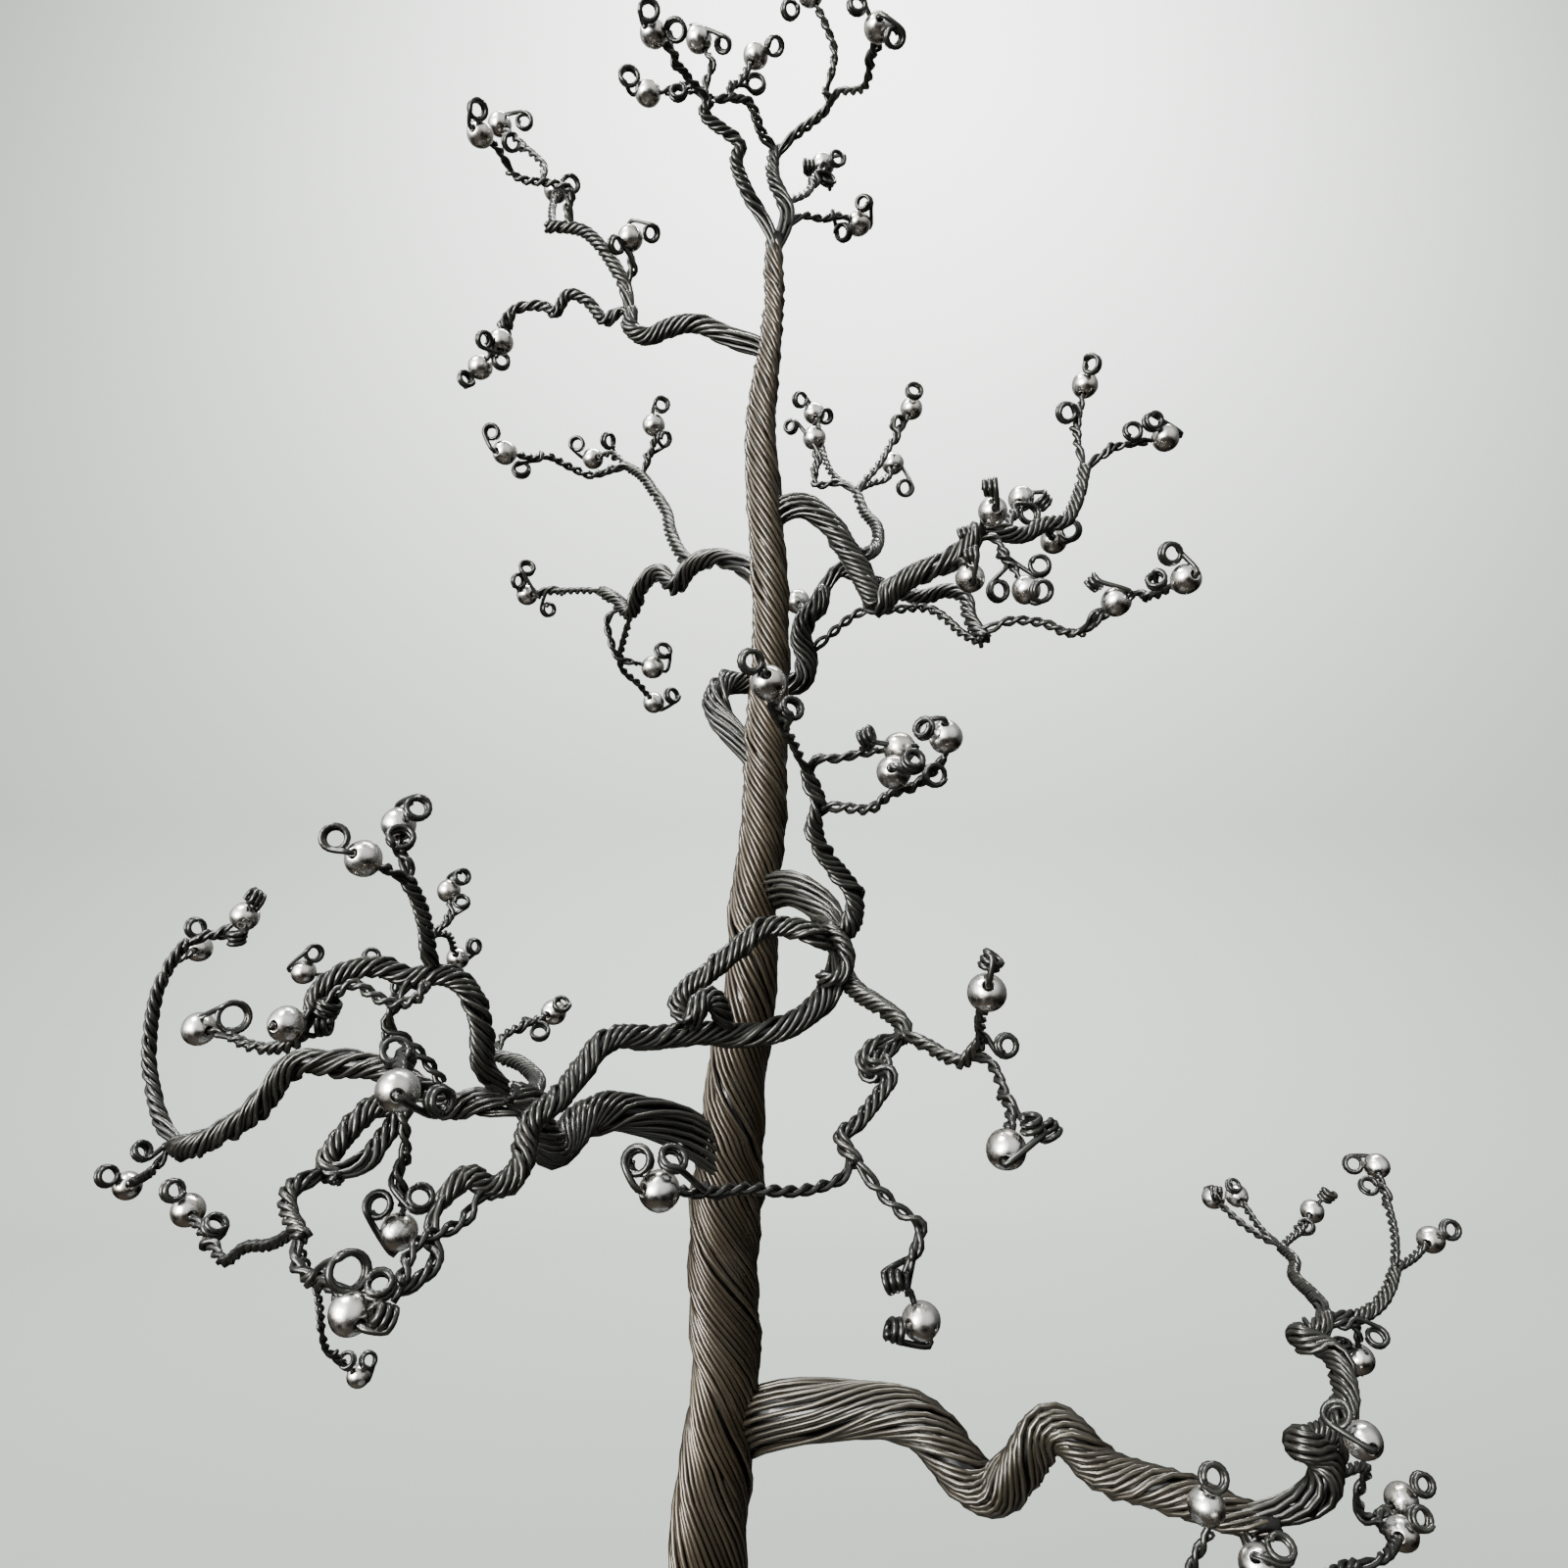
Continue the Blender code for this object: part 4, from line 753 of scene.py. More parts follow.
def lay_up(bundle, rope, chance, warmth, parent=None, leave=0.0, against=False, sides=WIRE_SIDES):
    """A rope's wires on helices round a core that is painted near-black as shade.

    A thick rope's wires are gathered in three or five loose strands: their angle is shifted by the sine, and
    their reach sinks by one less the cosine, of so many times the angle. Its tip is drawn together.
    """
    weight, base = wire_places(rope)
    count = len(weight)
    thick = count > PLAIN_WIRES
    strands = 3 if count < MANY_WIRES else 5
    squeeze = (STRAND_SHIFT if thick else 0.0) / strands
    phase = chance.uniform(0, math.tau)
    base = base + squeeze * np.sin(strands * base + phase)
    wander = chance.uniform(0, math.tau, (count, 2))
    period = chance.uniform(9, 22, (count, 2))
    stray = (chance.uniform(0, 1, count) < (STRAY_SHARE if thick else 0.0)) * chance.uniform(0.5, 1, count)
    wave = np.sin(rope.run / period[:, :1] + wander[:, :1])
    slow = np.sin(rope.run / (2.1 * period[:, 1:]) + wander[:, 1:])
    spacing = math.tau / count
    drift = spacing * (WAVE_SHIFT * wave * thick + STRAY_SHIFT * slow * stray[:, None])
    lift = SUNK_LIFT * rope.wire * (1 - weight) + WAVE_LIFT * wave * thick
    lift = lift + STRAY_LIFT * rope.wire * stray[:, None]
    lift = lift - (STRAND_DEPTH * rope.reach * (1 - np.cos(strands * base + phase)) if thick else 0)
    arc = np.broadcast_to(rope.run, weight.shape)
    wires = rope.wire_at(arc, base + drift, lift)
    if parent is not None:
        wires = fan(rope, arc, wires, parent, leave)
    last = len(rope.run) - 1 - np.argmax(weight[:, ::-1] > 0, axis=1)
    if parent is not None:
        reach = float(parent.at(leave, parent.reach))
        clear = min(reach + 2.2 * float(rope.reach[0]) + 1.5, 0.6 * rope.run[-1])
        joined = max(2, int(np.searchsorted(rope.run, clear)))
        extra = max(0, PEEL_POINTS - joined - 1)
        fine = np.linspace(0, rope.run[joined], joined + 1 + extra)
        near = rope.wire_at(np.broadcast_to(fine, (count, len(fine))), resample(rope.run, base + drift, fine),
                            resample(rope.run, lift, fine))
        near = fan(rope, np.broadcast_to(fine, (count, len(fine))), near, parent, leave)
        near = peel(rope, fine, near, parent, leave, against)
        wires = np.concatenate([near, wires[:, joined + 1:]], axis=1)
        last = np.maximum(last + extra, len(fine) - 1)
    end = (np.arange(wires.shape[1]) - (wires.shape[1] - 1)) / 3 + 1
    hold = np.clip(end, 0, 1)[None, :, None] * TIP_CLOSED
    wires = wires * (1 - hold) + rope.line[-1] * hold if thick else wires
    bundle.add(wires, rope.wire / 2, chance.uniform(0, 1, count), warmth, last, sides)
    if count > CORED_WIRES:
        shade_core(bundle, rope, 0.0 if parent is None else clear)


def resample(run, table, fine):
    """Rows of a table that belong to stations, read at other arc lengths."""
    return np.stack([np.interp(fine, run, row) for row in table])


def shade_core(bundle, rope, clear):
    """A core that fills a thick rope's middle beyond a clear length, so that no light comes through.

    It is a tube round the middle line, whose reach grows by a smoothstep where the wires close up. Its
    near-black colour is painted shade, standing in for the inner wires and the shade among them.
    """
    ring = max(6, min(12, int(rope.reach.mean() * 2)))
    turn = np.arange(ring) * math.tau / ring
    grown = smoothstep((rope.run / clear - CORE_START) / CORE_GROWTH) if clear else np.ones(len(rope.run))
    wide = np.maximum((rope.reach - 0.35 * rope.wire) * grown, 0.15)[:, None, None]
    out = np.cos(turn)[:, None] * rope.sides[:, None] + np.sin(turn)[:, None] * rope.ups[:, None]
    wall = rope.line[:, None] + out * wide
    index = np.arange(wall.shape[0] * ring).reshape(-1, ring) + bundle.total
    beside = np.roll(index, -1, axis=1)
    bundle.points.append(wall.reshape(-1, 3))
    bundle.quads.append(np.stack([index[:-1], beside[:-1], beside[1:], index[1:]], -1).reshape(-1, 4))
    bundle.caps.append(index[:1, ::-1])
    bundle.caps.append(index[-1:])
    # A shade of -1 makes the wire material colour the core near-black, as painted shade.
    bundle.shades.append(np.full(index.size, -1.0))
    bundle.warmths.append(np.full(index.size, 0.5))
    bundle.total += index.size


def trunk_rope(wires):
    """The trunk, from the plinth upwards."""
    seen = np.array(TRUNK_SEEN)
    points = on_sheet(seen[:, 0], seen[:, 1], 0.0)
    foot = np.array([0, 0, PLINTH_HEIGHT + GAP])
    knee = (foot + points[0]) / 2 + [(foot[0] - points[0, 0]) / 4, 0, 0]
    wide = np.concatenate([[FOOT_THICKNESS] * 2, seen[:, 2]])
    return Rope(np.vstack([foot, knee, points]), wide, wires.diameter / MM, wires.trunk_lay,
                step=TRUNK_STEP)


def root_rope(number, wires):
    """A root: down from the trunk's foot and out over the plinth, turning with the lay of the wires."""
    share = np.array([0.08, 0.14, 0.24, 0.42, 0.7, 1.0])
    rise = np.array([ROOT_RISE, ROOT_RISE * 0.55, ROOT_RISE * 0.25, 0, 0, 0])
    wide = np.interp(share, [0.42, 1.0], [ROOT_THICKNESS, ROOT_TIP_THICKNESS])
    length = ROOT_SPREAD * (1 + 0.1 * math.sin(2.6 * number))
    turn = math.tau * number / ROOT_COUNT + ROOT_TURN * (1 - share)
    height = PLINTH_HEIGHT + GAP + np.maximum(rise, wide / 2)
    points = np.column_stack([np.cos(turn) * share * length, np.sin(turn) * share * length, height])
    return Rope(points, wide, wires.diameter / MM, 0.8 * wires.rope_lay, phase=number, ease=30.0,
                step=ROOT_STEP)


def tree_ropes(wires):
    """Every rope of the tree by name, with its parent and where it leaves it; also the seen routes."""
    routes = {"trunk": fill_distances([(across, up, 0.0) for across, up, _ in TRUNK_SEEN])}
    ropes = {"trunk": (trunk_rope(wires), None, 0.0)}
    for limb in [*LIMBS.values(), *TURNS.values()]:
        for name, parent, start, end, bends in limb:
            first = nearest_on(routes[parent], bends[0])
            route = fill_distances([tuple(first)] + list(bends))
            routes[name] = route
            points = on_sheet(*route.T)
            leave = ropes[parent][0].nearest(points[0])
            points[0] = ropes[parent][0].at(leave, ropes[parent][0].line)
            ease = 5.0 * start if parent == "trunk" else 1.5 * start
            rope = Rope(points, [start, end], wires.diameter / MM, wires.rope_lay, phase=len(ropes),
                        ease=ease)
            ropes[name] = (rope, parent, leave)
    return ropes, routes


def twig_points(routes, parent, bends, bead):
    """A twig's points up to its bead, the bead's middle, and the way its wire goes through it."""
    across, up, seen = bead
    route = [tuple(nearest_on(routes[parent], bends[0] if bends else bead))] + list(bends)
    last = [bend[2] for bend in route if len(bend) == 3][-1]
    run = sum(math.dist(a[:2], b[:2]) for a, b in zip(route, list(bends) + [bead]))
    most = TWIG_LEAN_ALWAYS + TWIG_LEAN * run
    deep = SHEET_DISTANCE * math.cos(LOOK_UP) - up * math.sin(LOOK_UP)
    behind = min(last + most, max(last - most, deep * BEAD_SIZE / seen + EYE[1]))
    points = on_sheet(*fill_distances(route + [(across, up, behind)]).T)
    middle = points[-1]
    way = unit(middle - points[-2])
    lead = BEAD_SIZE / 2 + BEAD_LEAD
    near = (middle - points[:-1]) @ way > lead + 1.1
    return np.vstack([points[:-1][near], middle - way * lead]), middle, way


def coil(start, way, centre, axis, radius, turns, wire):
    """A wire's line from a start into a coil and round it.

    In the coil's plane, the wire touches the circle at acos(radius / distance) from the side of the start,
    on the side that its way favours, and winds on from there, each turn a wire further along the axis,
    its radius swaying a little along a slow sine.
    """
    flat = start - centre
    flat = flat - axis * (flat @ axis)
    far = max(float(np.linalg.norm(flat)), radius * 1.05)
    toward = unit(flat)
    first = math.acos(radius / far)
    side = np.cross(axis, toward)
    entry = -math.sin(first) * toward
    if (entry + math.cos(first) * side) @ way < (entry - math.cos(first) * side) @ way:
        axis = -axis
        side = -side
    angle = first + np.linspace(0, math.tau * turns, int(14 * turns) + 1)
    done = (angle - first) / math.tau
    wide = radius * (0.95 + 0.08 * np.sin(1.7 * done + first))
    rise = wire * 0.95 * (done - turns / 2)
    ring = np.cos(angle)[:, None] * toward + np.sin(angle)[:, None] * side
    return centre + ring * wide[:, None] + rise[:, None] * axis


def coil_axis(place, tilt, turn):
    """A coil's axis: from the place toward the eye, then tilted away to the side that turn names."""
    toward = unit(np.array(EYE) - place)
    right = unit(np.cross([0, 0, 1.0], toward))
    above = np.cross(toward, right)
    lean = math.cos(turn) * right + math.sin(turn) * above
    return math.cos(tilt) * toward + math.sin(tilt) * lean


def settle(loop, pair, middle):
    """Where a loop's coil sits: at the depth of the twig next to it, and clear of the bead and the twig."""
    sight = unit(on_sheet(loop[0], loop[1], 0.0) - EYE)
    line = np.vstack([pair.line, middle])
    along = (line - EYE) @ sight
    miss = np.linalg.norm(line - EYE - along[:, None] * sight, axis=1)
    nearest = int(np.argmin(miss))
    depth = float(along[nearest])
    bead_along = float((middle - EYE) @ sight)
    beside = float(np.linalg.norm(middle - EYE - bead_along * sight))
    clear = BEAD_SIZE / 2 + LOOP_FROM_BEAD
    if beside < clear:
        depth = min(depth, bead_along - math.sqrt(clear ** 2 - beside ** 2))
    elif miss[nearest] < LOOP_NEAR_TWIG:
        depth = depth - LOOP_BEFORE_TWIG
    return EYE + sight * depth, float(pair.run[min(nearest, len(pair.run) - 1)])


def twist_twig(bundle, twig, ropes, routes, wires, chance):
    """One twig: two wires round each other, one of them on through the bead, and a coil for each loop."""
    parent_name, bends, bead, loops = twig
    wire = wires.diameter / MM
    parent = ropes[parent_name][0]
    points, middle, way = twig_points(routes, parent_name, bends, bead)
    leave = parent.nearest(points[0])
    points[0] = parent.at(leave, parent.line)
    pair = Rope(points, [PAIR_THICKNESS * wire] * 2, wire, wires.pair_lay, sway=0.1,
                phase=chance.uniform(0, 6))
    warmth = chance.uniform(0.0, 0.15)
    base = chance.uniform(0, math.tau)
    reach = float(parent.at(leave, parent.reach))
    clear = min(reach + 2.5, 0.7 * pair.run[-1])
    joined = max(2, int(np.searchsorted(pair.run, clear)))
    both = pair.wire_at(np.broadcast_to(pair.run, (2, len(pair.run))), np.array([[base], [base + math.pi]]))
    near = peel(pair, pair.run[:joined + 1], both[:, :joined + 1], parent, leave, False)
    both = np.concatenate([near, both[:, joined + 1:]], axis=1)
    half = BEAD_SIZE / 2
    through = middle + way * np.array([[-half - 0.3], [-half * 0.4], [half * 0.4], [half + 0.7]])
    order = sorted(loops, key=lambda loop: -float((settle(loop, pair, middle)[0] - middle) @ way))
    threaded = np.vstack([both[0, :-1], through])
    for number, loop in enumerate(order):
        centre, arc = settle(loop, pair, middle)
        size = loop[4] if len(loop) > 4 else 1.0
        edge_on = loop[2] >= EDGE_ON
        tilt = math.radians(loop[2] if edge_on else LESS_TURNED * loop[2])
        axis = coil_axis(centre, tilt, math.radians(loop[3]))
        turns = chance.uniform(2.2, 3.0) if edge_on else chance.uniform(1.6, 2.2)
        radius = (EDGE_ON_RADIUS if edge_on else LOOP_RADIUS) * size * chance.uniform(0.9, 1.1)
        if number == 0:
            ring = coil(through[-1], way, centre, axis, radius, turns, wire)
            threaded = np.vstack([threaded, ring])
        else:
            back = max(0.0, min(arc, pair.run[-1]) - 3.0)
            beside = base + math.pi * (0.5 + number)
            arcs = np.linspace(max(0.0, back - 5.0), back, 4)
            start = pair.wire_at(arcs, np.full(4, beside), np.array([0.0, 0.55, 0.75, 0.75]) * wire)
            ring = coil(start[-1], unit(start[-1] - start[-2]), centre, axis, radius, turns, wire)
            line = smooth_line(np.vstack([start, ring]), TWIG_STEP)
            bundle.add(line, wire / 2, chance.uniform(0, 1), warmth)
    if not order:
        threaded = np.vstack([threaded, middle + way * (half + 1.6)])
    bundle.add(smooth_line(threaded, TWIG_STEP), wire / 2, chance.uniform(0, 1), warmth)
    bundle.add(both[1], wire / 2, chance.uniform(0, 1), warmth)


def bead_outline():
    """A bead's cross-section as a closed round of (reach, height): the outside, then back in the bore."""
    radius = BEAD_SIZE / 2
    bore = 0.8
    first = math.asin(bore / radius)
    angle = np.linspace(first + 0.1, math.pi - first - 0.1, 13)
    outer = np.column_stack([radius * np.sin(angle), radius * np.cos(angle)])
    lip = radius * math.cos(first) - 0.12
    inner = np.column_stack([[bore + 0.1, bore, bore, bore, bore + 0.1],
                             [-lip - 0.06, -lip + 0.3, 0, lip - 0.3, lip + 0.06]])
    return np.vstack([outer, inner])


def beads_piece(name, places, finish, chance):
    """Every bead of one limb: the outline turned about each bead's wire, slightly dented by low waves."""
    outline = bead_outline()
    around = np.arange(26) * math.tau / 26
    walls = []
    for middle, way in places:
        _, sides, ups = carried_frames(np.array([middle - way, middle, middle + way]))
        phase = chance.uniform(0, math.tau, 4)
        height = outline[None, :, 1]
        dent = 0.012 * np.sin(2 * around[:, None] + phase[0] + height * 0.9)
        dent = dent + 0.009 * np.sin(3 * around[:, None] + phase[1] - height * 1.3)
        reach = outline[None, :, 0] * (1 + dent)
        ring = np.cos(around)[:, None] * sides[1] + np.sin(around)[:, None] * ups[1]
        walls.append(middle + ring[:, None] * reach[..., None] + way * (height * (1 + dent))[..., None])
    count, rows = len(around), len(outline)
    index = np.arange(count * rows).reshape(count, rows)
    beside, below = np.roll(index, -1, axis=0), np.roll(index, -1, axis=1)
    quads = np.stack([index, below, np.roll(beside, -1, axis=1), beside], -1).reshape(-1, 4)
    faces = np.concatenate([quads + k * index.size for k in range(len(walls))])
    mesh = mesh_of(name, np.concatenate([wall.reshape(-1, 3) for wall in walls]), [faces], smooth=1)
    return add_piece(name, mesh, finish)


def plinth_piece(finish):
    """The plinth: an outline turned about its middle, with a rounded rim and a faintly riven top.

    The outline runs from the underside's middle out, up the wall, round the rim and back in. On the top the
    height falls by up to 0.3 mm in low waves of reach and angle.
    """
    radius, high, rim = PLINTH_DIAMETER / 2, PLINTH_HEIGHT, PLINTH_ROUNDING
    bend = np.linspace(0, math.pi / 2, 7)
    outline = np.vstack([
        [[radius * 0.5, 0], [radius - 0.8, 0], [radius, 0.8], [radius, high * 0.4]],
        np.column_stack([radius - rim + rim * np.cos(bend), high - rim + rim * np.sin(bend)]),
        np.column_stack([np.linspace(radius - rim, 6, 12)[1:], np.full(11, high)]),
    ])
    around = np.arange(120) * math.tau / 120
    reach, level = outline[None, :, 0], outline[None, :, 1]
    turn = around[:, None]
    waves = np.sin(reach / 7.3 + 2 * np.sin(2 * turn)) * np.sin(3 * turn + reach / 11) + 1
    drop = 0.15 * waves * smoothstep((level - high + rim) / rim)
    side = 0.12 * np.sin(9 * turn + level / 2) * smoothstep(level / 3) * (level < high - rim / 2)
    wall = np.stack([np.cos(turn) * (reach + side), np.sin(turn) * (reach + side), level - drop], -1)
    count, rows = len(around), len(outline)
    index = np.arange(count * rows).reshape(count, rows)
    beside = np.roll(index, -1, axis=0)
    quads = np.stack([index[:, :-1], beside[:, :-1], beside[:, 1:], index[:, 1:]], -1).reshape(-1, 4)
    faces = [quads, index[None, ::-1, 0], index[None, :, -1]]
    return add_piece("slate_plinth", mesh_of("slate_plinth", wall.reshape(-1, 3), faces, smooth=1), finish)


def add_node(tree, kind, settings=None, numbered=None, **links):
    """A shader node with its settings. A link's name is a socket's, its value a constant or an output.

    Sockets that share a name are given in numbered, by their number.
    """
    node = tree.nodes.new(kind)
    for key, value in (settings or {}).items():
        setattr(node, key, value)
    named = {socket.name.lower(): socket for socket in reversed(node.inputs) if socket.enabled}
    aims = [(named[key.replace("_", " ").lower()], value) for key, value in links.items()]
    aims += [(node.inputs[number], value) for number, value in (numbered or {}).items()]
    for socket, value in aims:
        if isinstance(value, bpy.types.NodeSocket):
            tree.links.new(value, socket)
        else:
            socket.default_value = value
    return node


def new_finish(name):
    """An empty material with its shader, and its node tree."""
    finish = bpy.data.materials.new(name)
    finish.use_nodes = True
    tree = finish.node_tree
    return finish, tree, tree.nodes["Principled BSDF"]


def ramp(tree, value, stops):
    """A colour that follows a value through stops of (position, colour)."""
    node = add_node(tree, "ShaderNodeValToRGB", Fac=value)
    stops = list(stops)
    band = node.color_ramp
    band.elements[0].position = stops[0][0]
    band.elements[1].position = stops[-1][0]
    band.elements[0].color = (*stops[0][1][:3], 1)
    band.elements[-1].color = (*stops[-1][1][:3], 1)
    for position, colour in stops[1:-1]:
        band.elements.new(position).color = (*colour[:3], 1)
    return node.outputs["Color"]


def annealed_steel_wire(finishes):
    """Annealed steel wire: drawn, then softened in the fire, so it wears a thin dark oxide, and waxed.

    It gives a dark olive-grey metal, with thin white glints along the wires where the wax mirrors a
    window. Each wire is a little lighter or darker than the next, the trunk's oxide is browner than the
    twigs', and rubbed places are paler. Die marks run too fine to show, so they are drawn as a bump of
    0.9 mm grain.
    """
    finish, tree, shader = new_finish("annealed steel wire")
    place = add_node(tree, "ShaderNodeTexCoord").outputs["Object"]
    shade = add_node(tree, "ShaderNodeAttribute", {"attribute_name": "wire_shade"}).outputs["Fac"]
    warmth = add_node(tree, "ShaderNodeAttribute", {"attribute_name": "rope_warmth"}).outputs["Fac"]
    patches = add_node(tree, "ShaderNodeTexNoise", Vector=place, Scale=1 / 0.009, Detail=3.0)
    grain = add_node(tree, "ShaderNodeTexNoise", Vector=place, Scale=1 / 0.0009, Detail=2.0)
    oxide = ramp(tree, warmth, [(0.0, finishes.wire_twig), (0.55, finishes.wire_limb),
                                (1.0, finishes.wire_trunk)])
    rubbed = add_node(tree, "ShaderNodeMapRange", Value=patches.outputs["Fac"], From_Min=0.54, From_Max=0.74,
                      To_Max=0.22)
    mixed = add_node(tree, "ShaderNodeMix", {"data_type": "RGBA"},
                     {6: oxide, 7: (*finishes.wire_rubbed[:3], 1)}, Factor=rubbed.outputs[0])
    level = add_node(tree, "ShaderNodeMapRange", Value=shade, To_Min=0.75, To_Max=1.25)
    toned = add_node(tree, "ShaderNodeVectorMath", {"operation": "SCALE"}, {0: mixed.outputs[2]},
                     Scale=level.outputs[0])
    # Where wire_shade is -1 the surface is a rope's core, coloured near-black #0a0908 as painted shade
    # between and beneath the wires.
    wire_not_shade_core = add_node(tree, "ShaderNodeMath", {"operation": "GREATER_THAN"}, {0: shade, 1: -0.5})
    shown = add_node(tree, "ShaderNodeMix", {"data_type": "RGBA"},
                     {6: (*hex_colour("#0a0908"), 1), 7: toned.outputs[0]}, Factor=wire_not_shade_core.outputs[0])
    tree.links.new(shown.outputs[2], shader.inputs["Base Color"])
    rough = add_node(tree, "ShaderNodeMapRange", Value=patches.outputs["Fac"], From_Min=0.3, From_Max=0.7,
                     To_Min=0.38, To_Max=0.22)
    tree.links.new(rough.outputs[0], shader.inputs["Roughness"])
    bump = add_node(tree, "ShaderNodeBump", Height=grain.outputs["Fac"], Distance=0.00006, Strength=0.5)
    tree.links.new(bump.outputs["Normal"], shader.inputs["Normal"])
    shader.inputs["Metallic"].default_value = 0.7
    shader.inputs["Coat Weight"].default_value = 0.6
    shader.inputs["Coat Roughness"].default_value = 0.12
    return finish


def silver_plate(finishes):
    """Silver plate on brass beads: tumbled bright, since handled.

    It mirrors the room with a soft edge, a little yellowed where it has tarnished, with small scuffs.
    """
    finish, tree, shader = new_finish("silver plate, tumbled")
    place = add_node(tree, "ShaderNodeTexCoord").outputs["Object"]
    tarnish = add_node(tree, "ShaderNodeTexNoise", Vector=place, Scale=1 / 0.004, Detail=3.0)
    scuffs = add_node(tree, "ShaderNodeTexNoise", Vector=place, Scale=1 / 0.0011, Detail=3.0)
    colour = ramp(tree, tarnish.outputs["Fac"], [(0.35, finishes.silver), (0.7, finishes.silver_tarnish)])
    tree.links.new(colour, shader.inputs["Base Color"])
    rough = add_node(tree, "ShaderNodeMapRange", Value=scuffs.outputs["Fac"], From_Min=0.35, From_Max=0.7,
                     To_Min=0.17, To_Max=0.32)
    tree.links.new(rough.outputs[0], shader.inputs["Roughness"])
    bump = add_node(tree, "ShaderNodeBump", Height=scuffs.outputs["Fac"], Distance=0.00008, Strength=0.5)
    tree.links.new(bump.outputs["Normal"], shader.inputs["Normal"])
    shader.inputs["Metallic"].default_value = 1.0
    return finish


def riven_slate(finishes):
    """Slate, split along its layers and rubbed with oil.

    It gives a dark blue-grey, fine-layered stone with a faint sheen, paler where it is scuffed.
    """
    finish, tree, shader = new_finish("slate, riven and oiled")
    place = add_node(tree, "ShaderNodeTexCoord").outputs["Object"]
    layered = add_node(tree, "ShaderNodeMapping", Vector=place, Scale=(1.0, 1.4, 7.0))
    clouds = add_node(tree, "ShaderNodeTexNoise", Vector=layered.outputs[0], Scale=1 / 0.022, Detail=6.0)
    grit = add_node(tree, "ShaderNodeTexNoise", Vector=layered.outputs[0], Scale=1 / 0.0014, Detail=3.0)
    colour = ramp(tree, clouds.outputs["Fac"],
                  [(0.3, finishes.slate_dark), (0.55, finishes.slate), (0.75, finishes.slate_pale)])
    tree.links.new(colour, shader.inputs["Base Color"])
    rough = add_node(tree, "ShaderNodeMapRange", Value=grit.outputs["Fac"], From_Min=0.3, From_Max=0.7,
                     To_Min=0.42, To_Max=0.62)
    tree.links.new(rough.outputs[0], shader.inputs["Roughness"])
    relief = add_node(tree, "ShaderNodeBump", Height=clouds.outputs["Fac"], Distance=0.0008, Strength=0.6)
    fine = add_node(tree, "ShaderNodeBump", Height=grit.outputs["Fac"], Distance=0.00015, Strength=0.6,
                    Normal=relief.outputs["Normal"])
    tree.links.new(fine.outputs["Normal"], shader.inputs["Normal"])
    return finish


def size(name, text, default):
    """A length in metres that a user may change."""
    return bpy.props.FloatProperty(name=name, description=text, default=default, min=0.0, unit="LENGTH",
                                   subtype="DISTANCE", precision=4)


def angle(name, text, default):
    """An angle that a user may change."""
    return bpy.props.FloatProperty(name=name, description=text, default=math.radians(default),
                                   unit="ROTATION", subtype="ANGLE")


def colour(name, text, code):
    """A colour that a user may change, from its sRGB hex value."""
    return bpy.props.FloatVectorProperty(name=name, description=text, default=hex_colour(code), size=3,
                                         min=0.0, max=1.0, subtype="COLOR")


class WireTreeWires(bpy.types.PropertyGroup):
    """Sizes of the wires."""

    diameter: size("Wire", "Diameter of one wire", 0.0011)
    trunk_lay: angle("Trunk lay", "Angle between the trunk and its wires", 34)
    rope_lay: angle("Limb lay", "Angle between a limb and its wires", 37)
    pair_lay: angle("Twig lay", "Angle between a twig and its two wires", 30)


class WireTreeFinishes(bpy.types.PropertyGroup):
    """Colours of the wires, beads and plinth."""

    wire_twig: colour("Wire, twigs", "Oxide of the twigs", "#242421")
    wire_limb: colour("Wire, limbs", "Oxide of the limbs", "#33322d")
    wire_trunk: colour("Wire, trunk", "Oxide of the trunk", "#433a2d")
    wire_rubbed: colour("Wire, rubbed", "Bare steel where the oxide is rubbed", "#6c6b64")
    silver: colour("Silver", "Bright silver plate", "#f7f6f3")
    silver_tarnish: colour("Silver, tarnished", "Silver plate that has dulled", "#dcd6ca")
    slate: colour("Slate", "The slate's own colour", "#3a3e42")
    slate_dark: colour("Slate, dark", "Oiled dark patches of the slate", "#25282b")
    slate_pale: colour("Slate, pale", "Scuffed patches of the slate", "#565a5c")


def wire_finish(context):
    """The wire material, made once."""
    known = bpy.data.materials.get("annealed steel wire")
    return known or annealed_steel_wire(context.scene.wire_tree_finishes)


class WIRETREE_OT_wirework(bpy.types.Operator):
    """Lay up the trunk, its roots and every limb from single wires, as one piece"""

    bl_idname = "wire_tree.wirework"
    bl_label = "Trunk and limbs"

    def execute(self, context):
        wires = context.scene.wire_tree_wires
        chance = np.random.default_rng(SEED)
        ropes, _ = tree_ropes(wires)
        bundle = Bundle()
        trunk = ropes["trunk"][0]
        lay_up(bundle, trunk, chance, 0.95)
        for number in range(ROOT_COUNT):
            root = root_rope(number, wires)
            lay_up(bundle, root, chance, 0.9, trunk, trunk.nearest(root.line[0]), True, ROOT_SIDES)
            curl_root(bundle, root, chance)
        for limb in LIMBS.values():
            for name, *_ in limb:
                add_rope(bundle, ropes, name, chance)
        piece = bundle.piece("wirework", wire_finish(context))
        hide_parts("trunk", *LIMBS)
        return {"FINISHED"}


def add_rope(bundle, ropes, name, chance):
    """A rope's wires; the thicker it is, the nearer its oxide is to the trunk's warm brown."""
    rope, parent, leave = ropes[name]
    warmth = float(np.clip(0.1 + rope.reach[0] / 9 + chance.uniform(-0.08, 0.08), 0, 1))
    lay_up(bundle, rope, chance, warmth, ropes[parent][0], leave)


